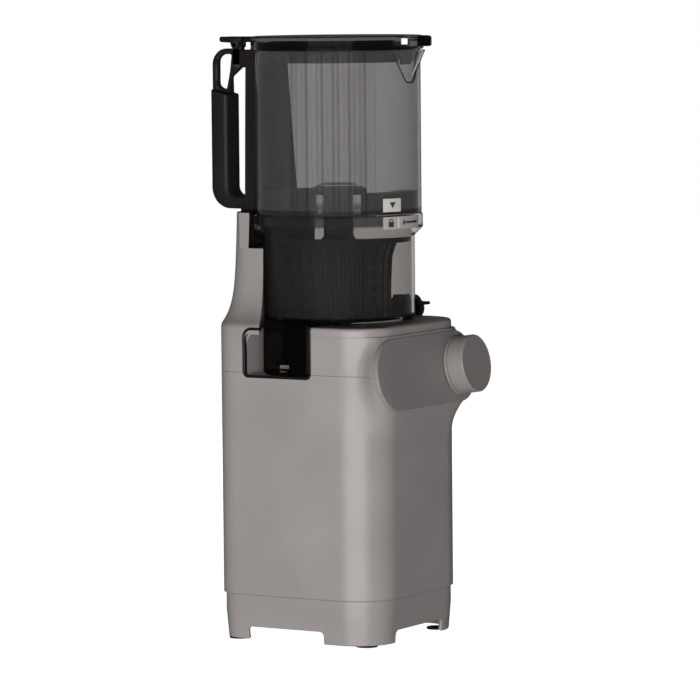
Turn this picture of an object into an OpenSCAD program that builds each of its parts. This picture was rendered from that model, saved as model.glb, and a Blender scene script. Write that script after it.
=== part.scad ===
// Upright cold press juicer with a wide see-through hopper, a drum on a deck,
// a rear saddle tower, a T-shaped control head and one control knob.
// Z is up, the control knob faces -Y, and the juicing axis is the Z axis. Millimetres.

/* [Body] */
// How far the body stands out past the drum's collar on each side
side_over = 7; // [4:0.5:14]
// Radius of the two front corners
front_r = 35; // [25:1:40]
// Radius of the two rear corners
rear_r = 22; // [16:1:30]
// Wall of the casings
wall = 3; // [2:0.5:4]
// Height of the deck above the floor
deck_h = 265.5; // [240:0.5:290]
// Thickness of the deck plate
deck_t = 7.5; // [6.5:0.5:9]
// Height of the upper casing, from the deck plate down to its joint
upper_h = 32; // [26:1:38]
// Parting gap between two casings
seam_gap = 0.4; // [0.1:0.1:0.8]
// Height of the top edge of the base skirt
base_h = 39; // [30:1:60]
// How far the base skirt stands in from the body
skirt_in = 2; // [1:0.5:4]
// Height of the openings between the feet
foot_gap_h = 12; // [8:1:16]
// Width of the opening under each side
side_gap_w = 74; // [50:1:80]
// How far back the side openings are centred
side_gap_y = 10; // [0:1:14]
// Width of the opening under the front and the back
front_gap_w = 77; // [50:1:80]
// Thickness of the rubber pads under the feet
pad_t = 1.5; // [1:0.5:3]
// Radius of the rubber pads
pad_r = 9; // [6:0.5:9.5]

/* [Tower] */
// How far the tower's sides stand in from the body's
tower_in = 24; // [20:1:28]
// Radius of the tower's two rear edges
tower_r = 23; // [18:1:30]
// How far the saddle that carries the spine lies below the drum's collar
saddle_drop = 9.3; // [5:0.1:16]
// Height of the thin wall behind the spine, above the saddle
back_h = 29.5; // [22:0.5:36]
// Radius of the flare between tower and deck
flare_r = 42; // [38:1:50]
// Height of the flare
flare_h = 38; // [24:1:38]

/* [Control head] */
// Corner radius of the control head, which is half its height
head_r = 30; // [26:0.5:34]
// How far it stands out past each side of the body
head_over = 3; // [0:0.5:5]
// Gap between its top and the deck plate
head_gap = 1.5; // [1:0.1:4]
// How far its face stands in front of the body
head_out = 7; // [5:0.5:12]
// Backward tilt of the face in degrees
head_tilt = 8.5; // [0:0.5:12]
// Length of the head's shell behind its face
head_len = 27; // [20:1:28]
// Thickness of the control panel
panel_t = 2.5; // [2:0.5:4]
// Radius of the control knob
knob_r = 24.3; // [18:0.1:26]
// How far the knob stands out of the panel
knob_len = 18.8; // [14:0.1:26]
// Radius of the knob's skirt
knob_skirt_r = 25.2; // [18:0.1:27]
// Height of the knob's skirt
knob_skirt_t = 3.2; // [2:0.1:5]
// Radius of the knob shaft
knob_shaft_r = 3; // [2:0.1:4]

/* [Drum] */
// Outer radius of the drum, which the body and the hopper follow
drum_r = 64; // [56:0.5:74]
// Wall of the drum
drum_wall = 2.5; // [2:0.1:3.5]
// How far the collar at the top of the drum stands out
collar_out = 7; // [6:0.1:9]
// Height of the drum
drum_h = 88.8; // [76:0.1:104]
// Height of the collar
collar_t = 11.5; // [10:0.5:18]
// Outer radius of the juice spout
spout_r = 7.5; // [6.5:0.5:8]
// How far the juice spout reaches past the body's side
spout_over = 6; // [4:0.5:14]
// How far the spout lies in front of the axis
spout_y = 20; // [12:1:28]
// Length of the spout cap's finger lever
lever_l = 20; // [10:1:26]

/* [Pulp outlet] */
// How far the outlet bay reaches behind the axis
bay_back = 47.5; // [44:0.5:50]
// How far the outlet bay reaches in front of the axis
bay_front = 19; // [17:0.5:24]
// Height of the outlet bay
bay_t = 43.5; // [38:0.5:50]
// Wall of the bay and of its trim
bay_wall = 2; // [1.5:0.1:2.5]
// Radius of the bay's upper rear corner
bay_r = 16; // [8:1:18]
// Radius of the bay's lower corners
bay_low_r = 5; // [3:0.5:8]

/* [Hopper] */
// Wall of the hopper
hopper_wall = 2.5; // [1.5:0.1:3]
// Height of the hopper
hopper_h = 137; // [115:1:162]
// Radius of the mouth in the hopper's floor
mouth_r = 32; // [28:1:40]
// Half width of the pouring lip at the rim
lip_r = 24; // [18:0.5:25]
// Depth of the pouring lip
lip_h = 27; // [18:1:40]
// Width of the handle's grip
grip_w = 22; // [18:1:30]
// Thickness of the handle's grip
grip_t = 19; // [14:1:19]
// How far the handle reaches behind the hopper
grip_out = 52; // [48:1:60]

/* [Lid] */
// How far the lid stands out past the hopper
lid_out = 2.5; // [1.5:0.1:3.5]
// Height of the lid's rim
lid_t = 11.5; // [9:0.5:15]
// Thickness of the lid's plate
lid_plate = 3.4; // [2:0.1:5]
// How far the lid's opening tab reaches behind the hinge
tab_l = 15; // [8:0.5:18]
// How far the hinge pin lies behind the hopper
hinge_out = 27.5; // [25:0.5:32]

/* [Drive] */
// Radius of the motor can
motor_r = 36; // [32:0.5:38]
// Height of the motor can
motor_l = 88; // [80:1:88]
// Radius of the motor shaft
motor_shaft_r = 4; // [3:0.1:4.5]
// Pitch diameter of the gears for each tooth
tooth_pitch = 1; // [0.95:0.05:1]
// Teeth of the two small gears
small_teeth = 12; // [12:1:14]
// Teeth of the two large gears
large_teeth = 48; // [44:1:48]
// Radius of the drive shaft
drive_r = 6; // [5:0.1:6.5]
// Width across the flats of the drive shaft's hexagon
hex_af = 10; // [8:0.5:10]
// Gap between the auger's flights and the strainer's lower edge
auger_play = 3.5; // [3:0.1:8]
// Radius of the cutting head on top of the auger
cutter_r = 24; // [18:0.5:26]

/* [Hidden] */

$fn = 96;
over = 1;            // overrun of every cut
fit = 0.3;           // clearance between seated pieces
run = 0.08;          // radial clearance of a running fit
eps_fit = 0.15;      // clearance round an inserted box
pin_r = 1.5;         // radius of the hinge pins
screw_r = 1.6;       // radius of the screw shanks
head_screw_r = 3;    // radius of the screw heads
head_screw_t = 2;    // height of the screw heads

// sizes that follow the drum
collar_r = drum_r + collar_out;
hopper_r = collar_r - 1;
spine_t = 3.4;       // thickness of the spine's lower block behind the collar
spine_play = 0.5;
spine_in = collar_r + 2 * fit;       // inner radius of the spine's lower block
spine_back = spine_in + spine_t;
body_w = 2 * (collar_r + side_over);
body_d = 2 * (spine_back + spine_play + wall);
tower_w = body_w - 2 * tower_in;
lid_r = hopper_r + lid_out;
grip_y = hopper_r + grip_out;
hinge_y = hopper_r + hinge_out;
spout_x = body_w / 2 + spout_over;
neck_in = drum_r + 2.4;              // inner radius of the collar

// heights, upwards
deck_z = deck_h - deck_t;
seam_h = deck_z - upper_h;
bay_h = deck_h - bay_t;
head_z = deck_z - head_r - head_gap;
head_y = body_d / 2 + head_out;
head_span = body_w + 2 * head_over - 2 * head_r;
drum_gap = 1.5;      // between the drum and the deck
drum_bot = deck_h + drum_gap;
floor_t = 3.5;
drum_floor = drum_bot + floor_t;
collar_top = drum_bot + drum_h;
taper_h = 7;         // height of the cone under the collar
saddle_h = collar_top - collar_t - taper_h - saddle_drop;
tower_h = saddle_h + back_h;
rest_gap = 0.2;      // between the drum's collar and the hopper
hopper_bot = collar_top + rest_gap;
hopper_top = hopper_bot + hopper_h;

foot_post_r = pad_r + seam_gap;
plate_z = foot_gap_h + fit;
plate_t = wall;
plate_top = plate_z + plate_t;
leg_r = 5;
leg_in = 6;          // chassis legs from the chassis plate's edges
skirt_w = body_w - 2 * skirt_in;
skirt_d = body_d - 2 * skirt_in;
post_r = 5;          // casing posts
rib_t = 3;           // web that ties a post to its wall
inlet_z = 60;        // height of the power inlet's middle
inlet_w = 24;
inlet_h = 16;
inlet_l = 18;        // how deep the inlet reaches into the body
inlet_rim = 3;
inlet_t = 1.5;
inlet_pin_at = 5;    // each pin's distance from the middle
inlet_pin_r = 1.2;
inlet_pin_l = 9;

// pieces of the drive, upwards
fan_space = 46.7;    // room for the fan between the base plate and the motor
chassis_z = plate_top + fan_space + motor_l;
chassis_t = 4;
chassis_gap = 1.46;  // between the chassis plate and the casing's posts
case_z = chassis_z + chassis_t;
case_floor = 4;
stage_t = 8;         // face width of the gears
stage_gap = 2;
pinion_z = case_z + case_floor + stage_gap;
stage2_z = pinion_z + stage_t + stage_gap;
case_t = 3;
counter_y = tooth_pitch * (small_teeth + large_teeth) / 2;
counter_r = 3;
case_play = 6.2;     // from the gears' pitch circle to the case's outside
case_r = tooth_pitch * large_teeth / 2 + case_play;
cover_z = stage2_z + stage_t + stage_gap + case_floor;
cover_t = 6;
neck_r = 15.5;
flange_r = 30;
flange_t = 6;
bay_gap = 2;         // from the gearbox flange to the outlet bay
bay_depth = body_w / 2 - flange_r - bay_gap;
recess_in = 13.4;
recess_r = drum_r - recess_in;       // deck recess for the drum's foot ring
recess_d = 4;
foot_ring_r = recess_r - 2 * fit;
foot_ring_t = 6;
hex_l = 30;
hex_top = drum_floor + hex_l;
hex_clear = 0.4;     // play across the flats

// control head frame
module head() translate([0, -head_y, head_z]) rotate([90 - head_tilt, 0, 0]) children();

module stadium(r, span) {
    for (s = [-1, 1]) translate([s * span / 2, 0]) circle(r);
    square([span, 2 * r], center = true);
}

module plan(w, d, rf, rr) {
    for (s = [-1, 1]) {
        translate([s * (w / 2 - rf), rf - d / 2]) circle(rf);
        translate([s * (w / 2 - rr), d / 2 - rr]) circle(rr);
    }
    translate([rf - w / 2, -d / 2]) square([w - 2 * rf, d / 2]);
    translate([rr - w / 2, 0]) square([w - 2 * rr, d / 2]);
    translate([-w / 2, rf - d / 2]) square([w, d - rf - rr]);
}

module inset_plan(i) plan(body_w - 2 * i, body_d - 2 * i, front_r - i, rear_r - i);

module slab(z0, z1) translate([0, 0, z0]) linear_extrude(z1 - z0) children();

// outline of the pulp outlet bay seen from its side, X to the back, Y up
module bay_outline(i) {
    b = bay_back - i;
    f = bay_front - i;
    lo = bay_h + i;
    r = bay_low_r - i;
    mid = deck_h - bay_wall - bay_r;
    translate([r - f, lo]) square([b + f - 2 * r, r]);
    for (y = [r - f, b - r]) translate([y, lo + r]) circle(r);
    translate([-f, lo + r]) square([b + f, mid - lo - r]);
    translate([bay_back - bay_r, mid]) circle(bay_r - i);
    translate([-f, lo + r]) square([bay_back - bay_r + f, deck_h + 2 * over - lo - r]);
}

module bay_run(x0, x1, i) translate([x0, 0, 0]) rotate([90, 0, 90]) linear_extrude(x1 - x0) bay_outline(i);
module bay_cut() bay_run(-body_w / 2 - over, eps_fit - body_w / 2 + bay_depth, -eps_fit);
module head_cut() head() translate([0, 0, -head_len - eps_fit]) linear_extrude(head_len + 2 * knob_len)
    stadium(head_r + eps_fit, head_span);

// the four corners, each with its side, its end and its corner radius
CORNERS = [[-1, -1, front_r], [1, -1, front_r], [-1, 1, rear_r], [1, 1, rear_r]];
function corner(c, reach) = [c[0] * (body_w / 2 - c[2] + reach * sqrt(1 / 2)),
    c[1] * (body_d / 2 - c[2] + reach * sqrt(1 / 2))];
function post_reach(c) = c[2] - skirt_in - wall - post_r - fit;
foot_in = 11;        // how far the foot posts stand in from the skirt's corner
chassis_w = 2 * (corner(CORNERS[1], post_reach(CORNERS[1]))[0] - post_r - chassis_gap);
leg_at = chassis_w / 2 - leg_in;     // chassis legs from the axis, both ways
function foot_at(c) = corner(c, c[2] - skirt_in - foot_in);

module gear(teeth, m, t) {
    p = 360 / teeth;
    root = m * (teeth / 2 - root_share);
    tip = m * (teeth / 2 + tip_share);
    linear_extrude(t) polygon([for (i = [0 : teeth - 1]) for (k = [0 : 3])
        let (a = p * (i + tooth_shares[k]), r = k == 0 || k == 3 ? root : tip) r * [cos(a), sin(a)]]);
}
root_share = 1.15;
tip_share = 0.8;
tooth_shares = [-0.27, -0.1, 0.1, 0.27];

module base_skirt() color("#8f8a88") difference() {
    union() {
        difference() {
            slab(pad_t, base_h) plan(skirt_w, skirt_d, front_r - skirt_in, rear_r - skirt_in);
            slab(pad_t - over, base_h + over) inset_plan(skirt_in + wall);
        }
        intersection() {
            for (c = CORNERS) translate(foot_at(c)) slab(pad_t, foot_gap_h + fit) circle(foot_post_r);
            slab(pad_t, base_h) plan(skirt_w, skirt_d, front_r - skirt_in, rear_r - skirt_in);
        }
    }
    for (x = [-1, 1]) translate([x * body_w / 2, side_gap_y, (foot_gap_h + pad_t) / 2])
        cube([4 * wall + skirt_in * 2, side_gap_w, foot_gap_h + pad_t], center = true);
    for (y = [-1, 1]) translate([0, y * body_d / 2, (foot_gap_h + pad_t) / 2])
        cube([front_gap_w, 4 * wall + skirt_in * 2, foot_gap_h + pad_t], center = true);
}

module foot_pads() color("#1c1b1a") for (c = CORNERS)
    translate(concat(foot_at(c), 0)) cylinder(r = pad_r, h = pad_t);

vent_w = 3;
vent_l = 40;
vent_step = 8;
vent_count = 5;
module base_plate() color("#55514f") difference() {
    slab(plate_z, plate_top) inset_plan(skirt_in + wall + eps_fit);
    for (x = [-1, 1], y = [-1, 1]) translate([x * leg_at, y * leg_at, plate_z - over])
        cylinder(r = screw_r + eps_fit, h = plate_t + 2 * over);
    for (i = [0 : vent_count - 1]) translate([0, (i - (vent_count - 1) / 2) * vent_step, plate_z])
        cube([vent_l, vent_w, 3 * plate_t], center = true);
}

module screw(l) {
    cylinder(r = head_screw_r, h = head_screw_t);
    cylinder(r = screw_r, h = head_screw_t + l);
}
base_screw_l = 15;
module base_screws() color("#9b9b9b") for (x = [-1, 1], y = [-1, 1])
    translate([x * leg_at, y * leg_at, plate_z - head_screw_t]) screw(base_screw_l);

board_w = 60;
board_z = 70;
board_h = 70;
board_t = 1.6;
board_gap = 7;       // between the board and the rear wall
board_y = body_d / 2 - wall - board_gap;
board_in = 5;        // hole centres from the board's edges
stud_r = 2.5;
module board_studs() for (x = [-1, 1], z = [board_in, board_h - board_in])
    translate([x * (board_w / 2 - board_in), board_y, board_z + z])
        rotate([-90, 0, 0]) cylinder(r = stud_r, h = body_d / 2 - wall - board_y + wall / 2);

module posts(z0, z1, corners) for (c = corners) {
    p = corner(c, post_reach(c));
    translate(concat(p, z0)) cylinder(r = post_r, h = z1 - z0);
    w0 = max(z0, base_h + 2 * seam_gap);
    translate(concat(p, w0)) rotate([0, 0, atan2(c[1], c[0])])
        translate([0, -rib_t / 2, 0]) cube([post_r + skirt_in + wall / 2 + fit, rib_t, z1 - w0]);
}

module casing(z0, z1) difference() {
    slab(z0, z1) inset_plan(0);
    slab(z0 - over, z1 + over) inset_plan(wall);
}

module lower_casing() color("#8f8a88") difference() {
    union() {
        casing(base_h + seam_gap, seam_h - seam_gap / 2);
        posts(plate_top, seam_h - seam_gap / 2, CORNERS);
        board_studs();
    }
    head_cut();
    bay_cut();
    translate([-inlet_w / 2 - run, body_d / 2 - 2 * wall, inlet_z - inlet_h / 2 - run])
        cube([inlet_w + 2 * run, 4 * wall, inlet_h + 2 * run]);
}

module upper_casing() color("#8f8a88") difference() {
    union() {
        casing(seam_h + seam_gap / 2, deck_z - seam_gap);
        posts(seam_h + seam_gap / 2, deck_z - seam_gap, [CORNERS[2], CORNERS[3]]);
    }
    head_cut();
    bay_cut();
}

spine_wrap = 12.5;
spine_out = collar_r + spine_wrap;   // outer radius of the spine's lower block
tower_bore = drum_r + wall;
flare_y = drum_r / 2 + over;         // where the flare starts behind the axis

module tower_plan() intersection() {
    plan(tower_w, body_d, tower_r, tower_r);
    translate([-body_w / 2, 0]) square([body_w, body_d]);
}

// cross-section of the flare, from the tower's side face outwards
module flare_shape(reach) difference() {
    square([reach + flare_r, flare_h]);
    translate([reach + flare_r, flare_h]) circle(flare_r, $fn = 180);
}

module flare() intersection() {
    slab(deck_h - over, deck_h + flare_h + over) inset_plan(0);
    for (s = [0, 1]) mirror([s, 0, 0]) {
        translate([tower_w / 2 - tower_r, body_d / 2 - tower_r, deck_h]) rotate_extrude() flare_shape(tower_r);
        translate([0, body_d / 2 - tower_r, deck_h]) rotate([90, 0, 0])
            linear_extrude(body_d / 2 - tower_r - flare_y) flare_shape(tower_w / 2);
    }
}

switch_w = 12;
switch_d = 6;
switch_h = 16;
bar_in = 1.5;
bar_y = spine_in + bar_in;           // the interlock bar lies this far behind the axis
switch_y = bar_y + fit;
bar_w = 8;
bar_t = 1.6;
bar_play = 0.2;

module deck() color("#8f8a88") difference() {
    union() {
        slab(deck_z, deck_h) inset_plan(0);
        slab(deck_h - over, tower_h) tower_plan();
        flare();
    }
    translate([0, 0, deck_h]) cylinder(r = tower_bore, h = body_d * 2);
    translate([0, 0, saddle_h]) intersection() {
        cylinder(r = spine_out + 2 * fit, h = body_d);
        translate([-body_w, -body_d, 0]) cube([2 * body_w, body_d + spine_back + fit, body_d]);
    }
    translate([0, 0, deck_h - recess_d]) cylinder(r = recess_r, h = recess_d + over);
    translate([0, 0, deck_z - over]) cylinder(r = neck_r + fit, h = deck_t + 2 * over);
    for (a = [45 : 90 : 315]) rotate([0, 0, a]) translate([deck_screw_at, 0, deck_z - over])
        cylinder(r = screw_r + eps_fit, h = deck_t + 2 * over);
    translate([-switch_w / 2 - eps_fit, switch_y - switch_d / 2 - eps_fit / 2, saddle_h - switch_h - eps_fit])
        cube([switch_w + 2 * eps_fit, switch_d + eps_fit, switch_h + over]);
    bay_cut();
    // the pulp duct rises in front of the flare when the drum is lifted
    translate([-body_w, 0, deck_h]) cube([2 * body_w, duct_y1 + duct_gap, flare_h + over]);
}

deck_screw_at = (neck_r + flange_r) / 2 + screw_r - fit;
deck_screw_l = 7;
module deck_screws() color("#9b9b9b") for (a = [45 : 90 : 315]) rotate([0, 0, a])
    translate([deck_screw_at, 0, deck_h - recess_d + head_screw_t]) mirror([0, 0, 1]) screw(deck_screw_l);

module head_shell() color("#847f7d") head() translate([0, 0, -head_len]) difference() {
    linear_extrude(head_len - panel_t) stadium(head_r, head_span);
    translate([0, 0, -over]) linear_extrude(head_len - panel_t + 2 * over) stadium(head_r - wall, head_span);
}

module control_panel() color("#6e6967") head() difference() {
    translate([0, 0, -panel_t]) linear_extrude(panel_t) stadium(head_r, head_span);
    translate([head_span / 2, 0, -panel_t - over]) cylinder(r = knob_shaft_r + run, h = panel_t + 2 * over);
}

knob_gap = 0.8;      // gap between the knob's skirt and the panel
knob_cap = 4;        // material left over the shaft's end
module knob() color("#7d7876") head() translate([head_span / 2, 0, knob_gap]) difference() {
    union() {
        cylinder(r = knob_skirt_r, h = knob_skirt_t);
        cylinder(r = knob_r, h = knob_len - knob_gap);
    }
    translate([0, 0, -over]) cylinder(r = knob_shaft_r + run / 2, h = knob_len - knob_gap - knob_cap + over);
}

switch_body = 26;    // side of the rotary switch
switch_len = 16;
module knob_shaft() color("#b9b9b9") head() translate([head_span / 2, 0, -panel_t - switch_len + over])
    cylinder(r = knob_shaft_r, h = panel_t + switch_len - over + knob_len - knob_cap - eps_fit);

module rotary_switch() color("#2b2b2b") head() translate([head_span / 2, 0, -panel_t - switch_len]) difference() {
    union() {
        translate([-switch_body / 2, -switch_body / 2, 0]) cube([switch_body, switch_body, switch_len]);
        for (i = [-1 : 1]) translate([i * switch_body / 3, 0, -stud_r])
            cube([stud_r, switch_body / 4, 2 * stud_r], center = true);
    }
    translate([0, 0, over - eps_fit]) cylinder(r = knob_shaft_r + run, h = switch_len + over);
}

module outlet_bay() color("#7a7573") difference() {
    bay_run(wall - body_w / 2, bay_depth - body_w / 2, 0);
    bay_run(-body_w / 2, bay_depth - bay_wall - body_w / 2, bay_wall);
    slab(deck_h, 2 * deck_h) square(4 * body_w, center = true);
    translate([0, 0, deck_h - recess_d]) cylinder(r = recess_r, h = recess_d + over);
}

trim_out = 0.6;      // how far the dark trim stands proud of the body
module outlet_trim() color("#171615") difference() {
    bay_run(-trim_out - body_w / 2, wall - eps_fit - body_w / 2, 0);
    bay_run(-over - body_w / 2, wall + over - body_w / 2, bay_wall);
    slab(deck_h, 2 * deck_h) square(4 * body_w, center = true);
}

module power_inlet() {
    color("#1f1e1d") translate([0, body_d / 2, inlet_z]) difference() {
        union() {
            translate([-inlet_w / 2, -inlet_l, -inlet_h / 2]) cube([inlet_w, inlet_l, inlet_h]);
            translate([-inlet_w / 2 - inlet_rim, 0, -inlet_h / 2 - inlet_rim])
                cube([inlet_w + 2 * inlet_rim, inlet_t, inlet_h + 2 * inlet_rim]);
        }
        translate([inlet_rim - inlet_w / 2, inlet_rim - inlet_l, inlet_rim - inlet_h / 2])
            cube([inlet_w - 2 * inlet_rim, inlet_l, inlet_h - 2 * inlet_rim]);
    }
    color("#b9b9b9") for (s = [-1, 1])
        translate([s * inlet_pin_at, body_d / 2 - inlet_l + inlet_rim - over, inlet_z])
        rotate([-90, 0, 0]) cylinder(r = inlet_pin_r, h = inlet_pin_l + over);
}

relay_w = 14;
cap_r = 6;
module circuit_board() {
    color("#2f5d3a") translate([-board_w / 2, board_y - board_t, board_z]) cube([board_w, board_t, board_h]);
    color("#222222") translate([0, board_y - board_t, board_z + board_h / 2]) {
        for (x = [-1, 1]) translate([x * relay_w, 0, -relay_w]) rotate([90, 0, 0]) cylinder(r = cap_r, h = cap_r);
        translate([-relay_w / 2, -relay_w / 2, 0]) cube([relay_w, relay_w / 2, relay_w]);
        translate([relay_w, -relay_w / 3, 0]) cube([relay_w / 2, relay_w / 3, relay_w]);
    }
}

module interlock_switch() color("#2b2b2b")
    translate([-switch_w / 2, switch_y - switch_d / 2, saddle_h - switch_h]) cube([switch_w, switch_d, switch_h]);

module chassis() color("#a0a0a0") difference() {
    union() {
        translate([-chassis_w / 2, -chassis_w / 2, chassis_z]) cube([chassis_w, chassis_w, chassis_t]);
        for (x = [-1, 1], y = [-1, 1]) translate([x * leg_at, y * leg_at, plate_top])
            cylinder(r = leg_r, h = chassis_z - plate_top + over);
    }
    for (x = [-1, 1], y = [-1, 1]) translate([x * leg_at, y * leg_at, plate_top - over])
        cylinder(r = screw_r + run, h = base_screw_l);
    translate([0, 0, chassis_z - over]) cylinder(r = chassis_hole, h = chassis_t + 2 * over);
}
chassis_hole = 12;

can_t = 2;
can_z = chassis_z - motor_l;
module motor_can() color("#6f7275") translate([0, 0, can_z]) difference() {
    cylinder(r = motor_r, h = motor_l);
    translate([0, 0, can_t]) cylinder(r = motor_r - can_t, h = motor_l - 2 * can_t);
    translate([0, 0, -over]) cylinder(r = bearing_r, h = motor_l + 2 * over);
}

bearing_r = 9;
bearing_t = 7;
stator_in = 24;
air_gap = 0.6;
stator_l = 56;
stator_z = can_z + (motor_l - stator_l) / 2;
module stator() color("#a5662f") translate([0, 0, stator_z]) difference() {
    cylinder(r = motor_r - can_t, h = stator_l);
    translate([0, 0, -over]) cylinder(r = stator_in, h = stator_l + 2 * over);
}

module rotor() color("#8c8f92") translate([0, 0, stator_z]) difference() {
    cylinder(r = stator_in - air_gap, h = stator_l);
    translate([0, 0, -over]) cylinder(r = motor_shaft_r, h = stator_l + 2 * over);
}

fan_t = 10;
fan_z = can_z - fan_t - 2 * stage_gap;
module motor_shaft() color("#c8c8c8") translate([0, 0, fan_z])
    cylinder(r = motor_shaft_r, h = pinion_z + stage_t - fan_z);

module motor_bearings() color("#d0d0d0") for (z = [can_z, chassis_z - bearing_t]) translate([0, 0, z]) difference() {
    cylinder(r = bearing_r, h = bearing_t);
    translate([0, 0, -over]) cylinder(r = motor_shaft_r + run, h = bearing_t + 2 * over);
}

fan_r = 32;
fan_hub = 9;
fan_blades = 9;
blade_t = 1.5;
module cooling_fan() color("#303030") translate([0, 0, fan_z]) difference() {
    union() {
        cylinder(r = fan_hub, h = fan_t);
        cylinder(r = fan_r, h = blade_t);
        for (i = [1 : fan_blades]) rotate([0, 0, i * 360 / fan_blades])
            translate([fan_hub - over, -blade_t / 2, 0]) cube([fan_r - fan_hub, blade_t, fan_t]);
    }
    translate([0, 0, -over]) cylinder(r = motor_shaft_r, h = fan_t + 2 * over);
}

module bored_gear(teeth, bore) difference() {
    gear(teeth, tooth_pitch, stage_t);
    translate([0, 0, -over]) cylinder(r = bore, h = stage_t + 2 * over);
}

module motor_pinion() color("#c9a24a") translate([0, 0, pinion_z])
    rotate([0, 0, 90]) bored_gear(small_teeth, motor_shaft_r);

module case_plan(r) {
    circle(r);
    translate([0, counter_y]) circle(r);
    translate([-r, 0]) square([2 * r, counter_y]);
}

module gearbox_case() color("#b4b6b8") difference() {
    slab(case_z, cover_z) case_plan(case_r);
    slab(case_z + case_floor, cover_z + over) case_plan(case_r - case_t);
    translate([0, 0, case_z - over]) cylinder(r = motor_shaft_r + case_t, h = case_floor + 2 * over);
    translate([0, counter_y, case_z + case_floor / 2]) cylinder(r = counter_r + run, h = case_floor);
}

module gearbox_cover() color("#b4b6b8") difference() {
    union() {
        slab(cover_z, cover_z + cover_t) case_plan(case_r);
        translate([0, 0, cover_z]) cylinder(r = neck_r, h = deck_h - recess_d - cover_z);
        translate([0, 0, deck_z - flange_t]) cylinder(r = flange_r, h = flange_t);
    }
    translate([0, 0, cover_z - over]) cylinder(r = bearing_r, h = deck_h - cover_z);
    translate([0, counter_y, cover_z - over]) cylinder(r = counter_r + run, h = over + cover_t / 2);
    for (a = [45 : 90 : 315]) rotate([0, 0, a]) translate([deck_screw_at, 0, deck_z - flange_t - over])
        cylinder(r = screw_r + run, h = flange_t + 2 * over);
}

module counter_shaft() color("#c8c8c8") translate([0, counter_y, case_z + case_floor / 2 + run])
    cylinder(r = counter_r, h = cover_z + cover_t / 2 - case_z - case_floor / 2 - 2 * run);

// a tooth of each small gear points at the gap between two teeth of its large gear
module counter_gear() color("#c9a24a") {
    translate([0, counter_y, pinion_z]) rotate([0, 0, -90 + 180 / large_teeth])
        bored_gear(large_teeth, counter_r);
    translate([0, counter_y, stage2_z]) rotate([0, 0, -90]) bored_gear(small_teeth, counter_r);
    translate([0, counter_y, pinion_z + stage_t]) difference() {
        cylinder(r = counter_r + stage_gap, h = stage_gap);
        translate([0, 0, -over]) cylinder(r = counter_r, h = stage_gap + 2 * over);
    }
}

module output_gear() color("#c9a24a") translate([0, 0, stage2_z])
    rotate([0, 0, 90 + 180 / large_teeth]) bored_gear(large_teeth, drive_r);

module drive_shaft() color("#c8c8c8") {
    translate([0, 0, stage2_z]) cylinder(r = drive_r, h = drum_floor - stage2_z);
    translate([0, 0, drum_floor]) cylinder(r = hex_af / sqrt(3), h = hex_top - drum_floor, $fn = 6);
}

module drive_bearing() color("#d0d0d0") for (z = [cover_z, deck_z - bearing_t]) translate([0, 0, z]) difference() {
    cylinder(r = bearing_r, h = bearing_t);
    translate([0, 0, -over]) cylinder(r = drive_r + run, h = bearing_t + 2 * over);
}

// drum
duct_out = 0.8;      // the duct stands this far inside the body's side
duct_x0 = duct_out - body_w / 2;
duct_x1 = bay_depth - bay_wall - body_w / 2 - 2 * fit;
duct_gap = (bay_low_r - bay_wall) * (1 - sqrt(1 / 2)) + fit;     // clears the bay's rounded corners
duct_y0 = bay_wall - bay_front + duct_gap;
duct_y1 = 28;
duct_z0 = bay_h + bay_wall + duct_gap;
port_y0 = 3;
port_y1 = duct_y1 - drum_wall;
spout_z = drum_bot + spout_r + fit;
spout_bore = 5;
seal_r = 9.2;
ear_gap = 4.7;       // half width between the cap's hinge ears
ear_t = 2.6;
ear_r = 3;
cap_pin_x = spout_x - ear_r;
cap_pin_y = spout_r + ear_r + fit - spout_y;

// the chute stays within the drum
chute_x0 = 2 * fit - sqrt(pow(drum_r - drum_wall, 2) - pow(port_y1, 2));
chute_x1 = duct_x1 - drum_wall;

module spout_hole() translate([drum_r / 2, -spout_y, spout_z]) rotate([0, 90, 0])
    cylinder(r = spout_bore, h = spout_x);

module drum() color("#3a3735", 0.7) difference() {
    union() {
        translate([0, 0, drum_floor]) cylinder(r = drum_r, h = collar_top - collar_t - drum_floor);
        translate([0, 0, collar_top - collar_t - taper_h]) cylinder(r1 = drum_r, r2 = collar_r, h = taper_h);
        translate([0, 0, collar_top - collar_t]) cylinder(r = collar_r, h = collar_t);
    }
    translate([0, 0, drum_floor - over]) cylinder(r = drum_r - drum_wall, h = drum_h);
    translate([0, 0, collar_top - collar_t + drum_wall]) cylinder(r = neck_in, h = collar_t);
    spout_hole();
}

// floor of the drum, with the ring that sits in the deck's recess
module drum_base() color("#3a3735", 0.7) difference() {
    union() {
        translate([0, 0, drum_bot]) cylinder(r = drum_r, h = floor_t);
        translate([0, 0, drum_bot - foot_ring_t + over]) cylinder(r = foot_ring_r, h = foot_ring_t);
    }
    translate([0, 0, drum_bot - foot_ring_t]) cylinder(r = foot_ring_r - 2 * wall, h = foot_ring_t);
    translate([duct_x0, duct_y0, duct_z0]) cube([duct_x1 - duct_x0, duct_y1 - duct_y0, drum_bot - duct_z0]);
    translate([0, 0, drum_bot - foot_ring_t]) cylinder(r = seal_r, h = 2 * foot_ring_t);
    translate([chute_x0, port_y0, drum_bot - over])
        cube([chute_x1 - chute_x0, port_y1 - port_y0, floor_t + 2 * over]);
    spout_hole();
}

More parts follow.
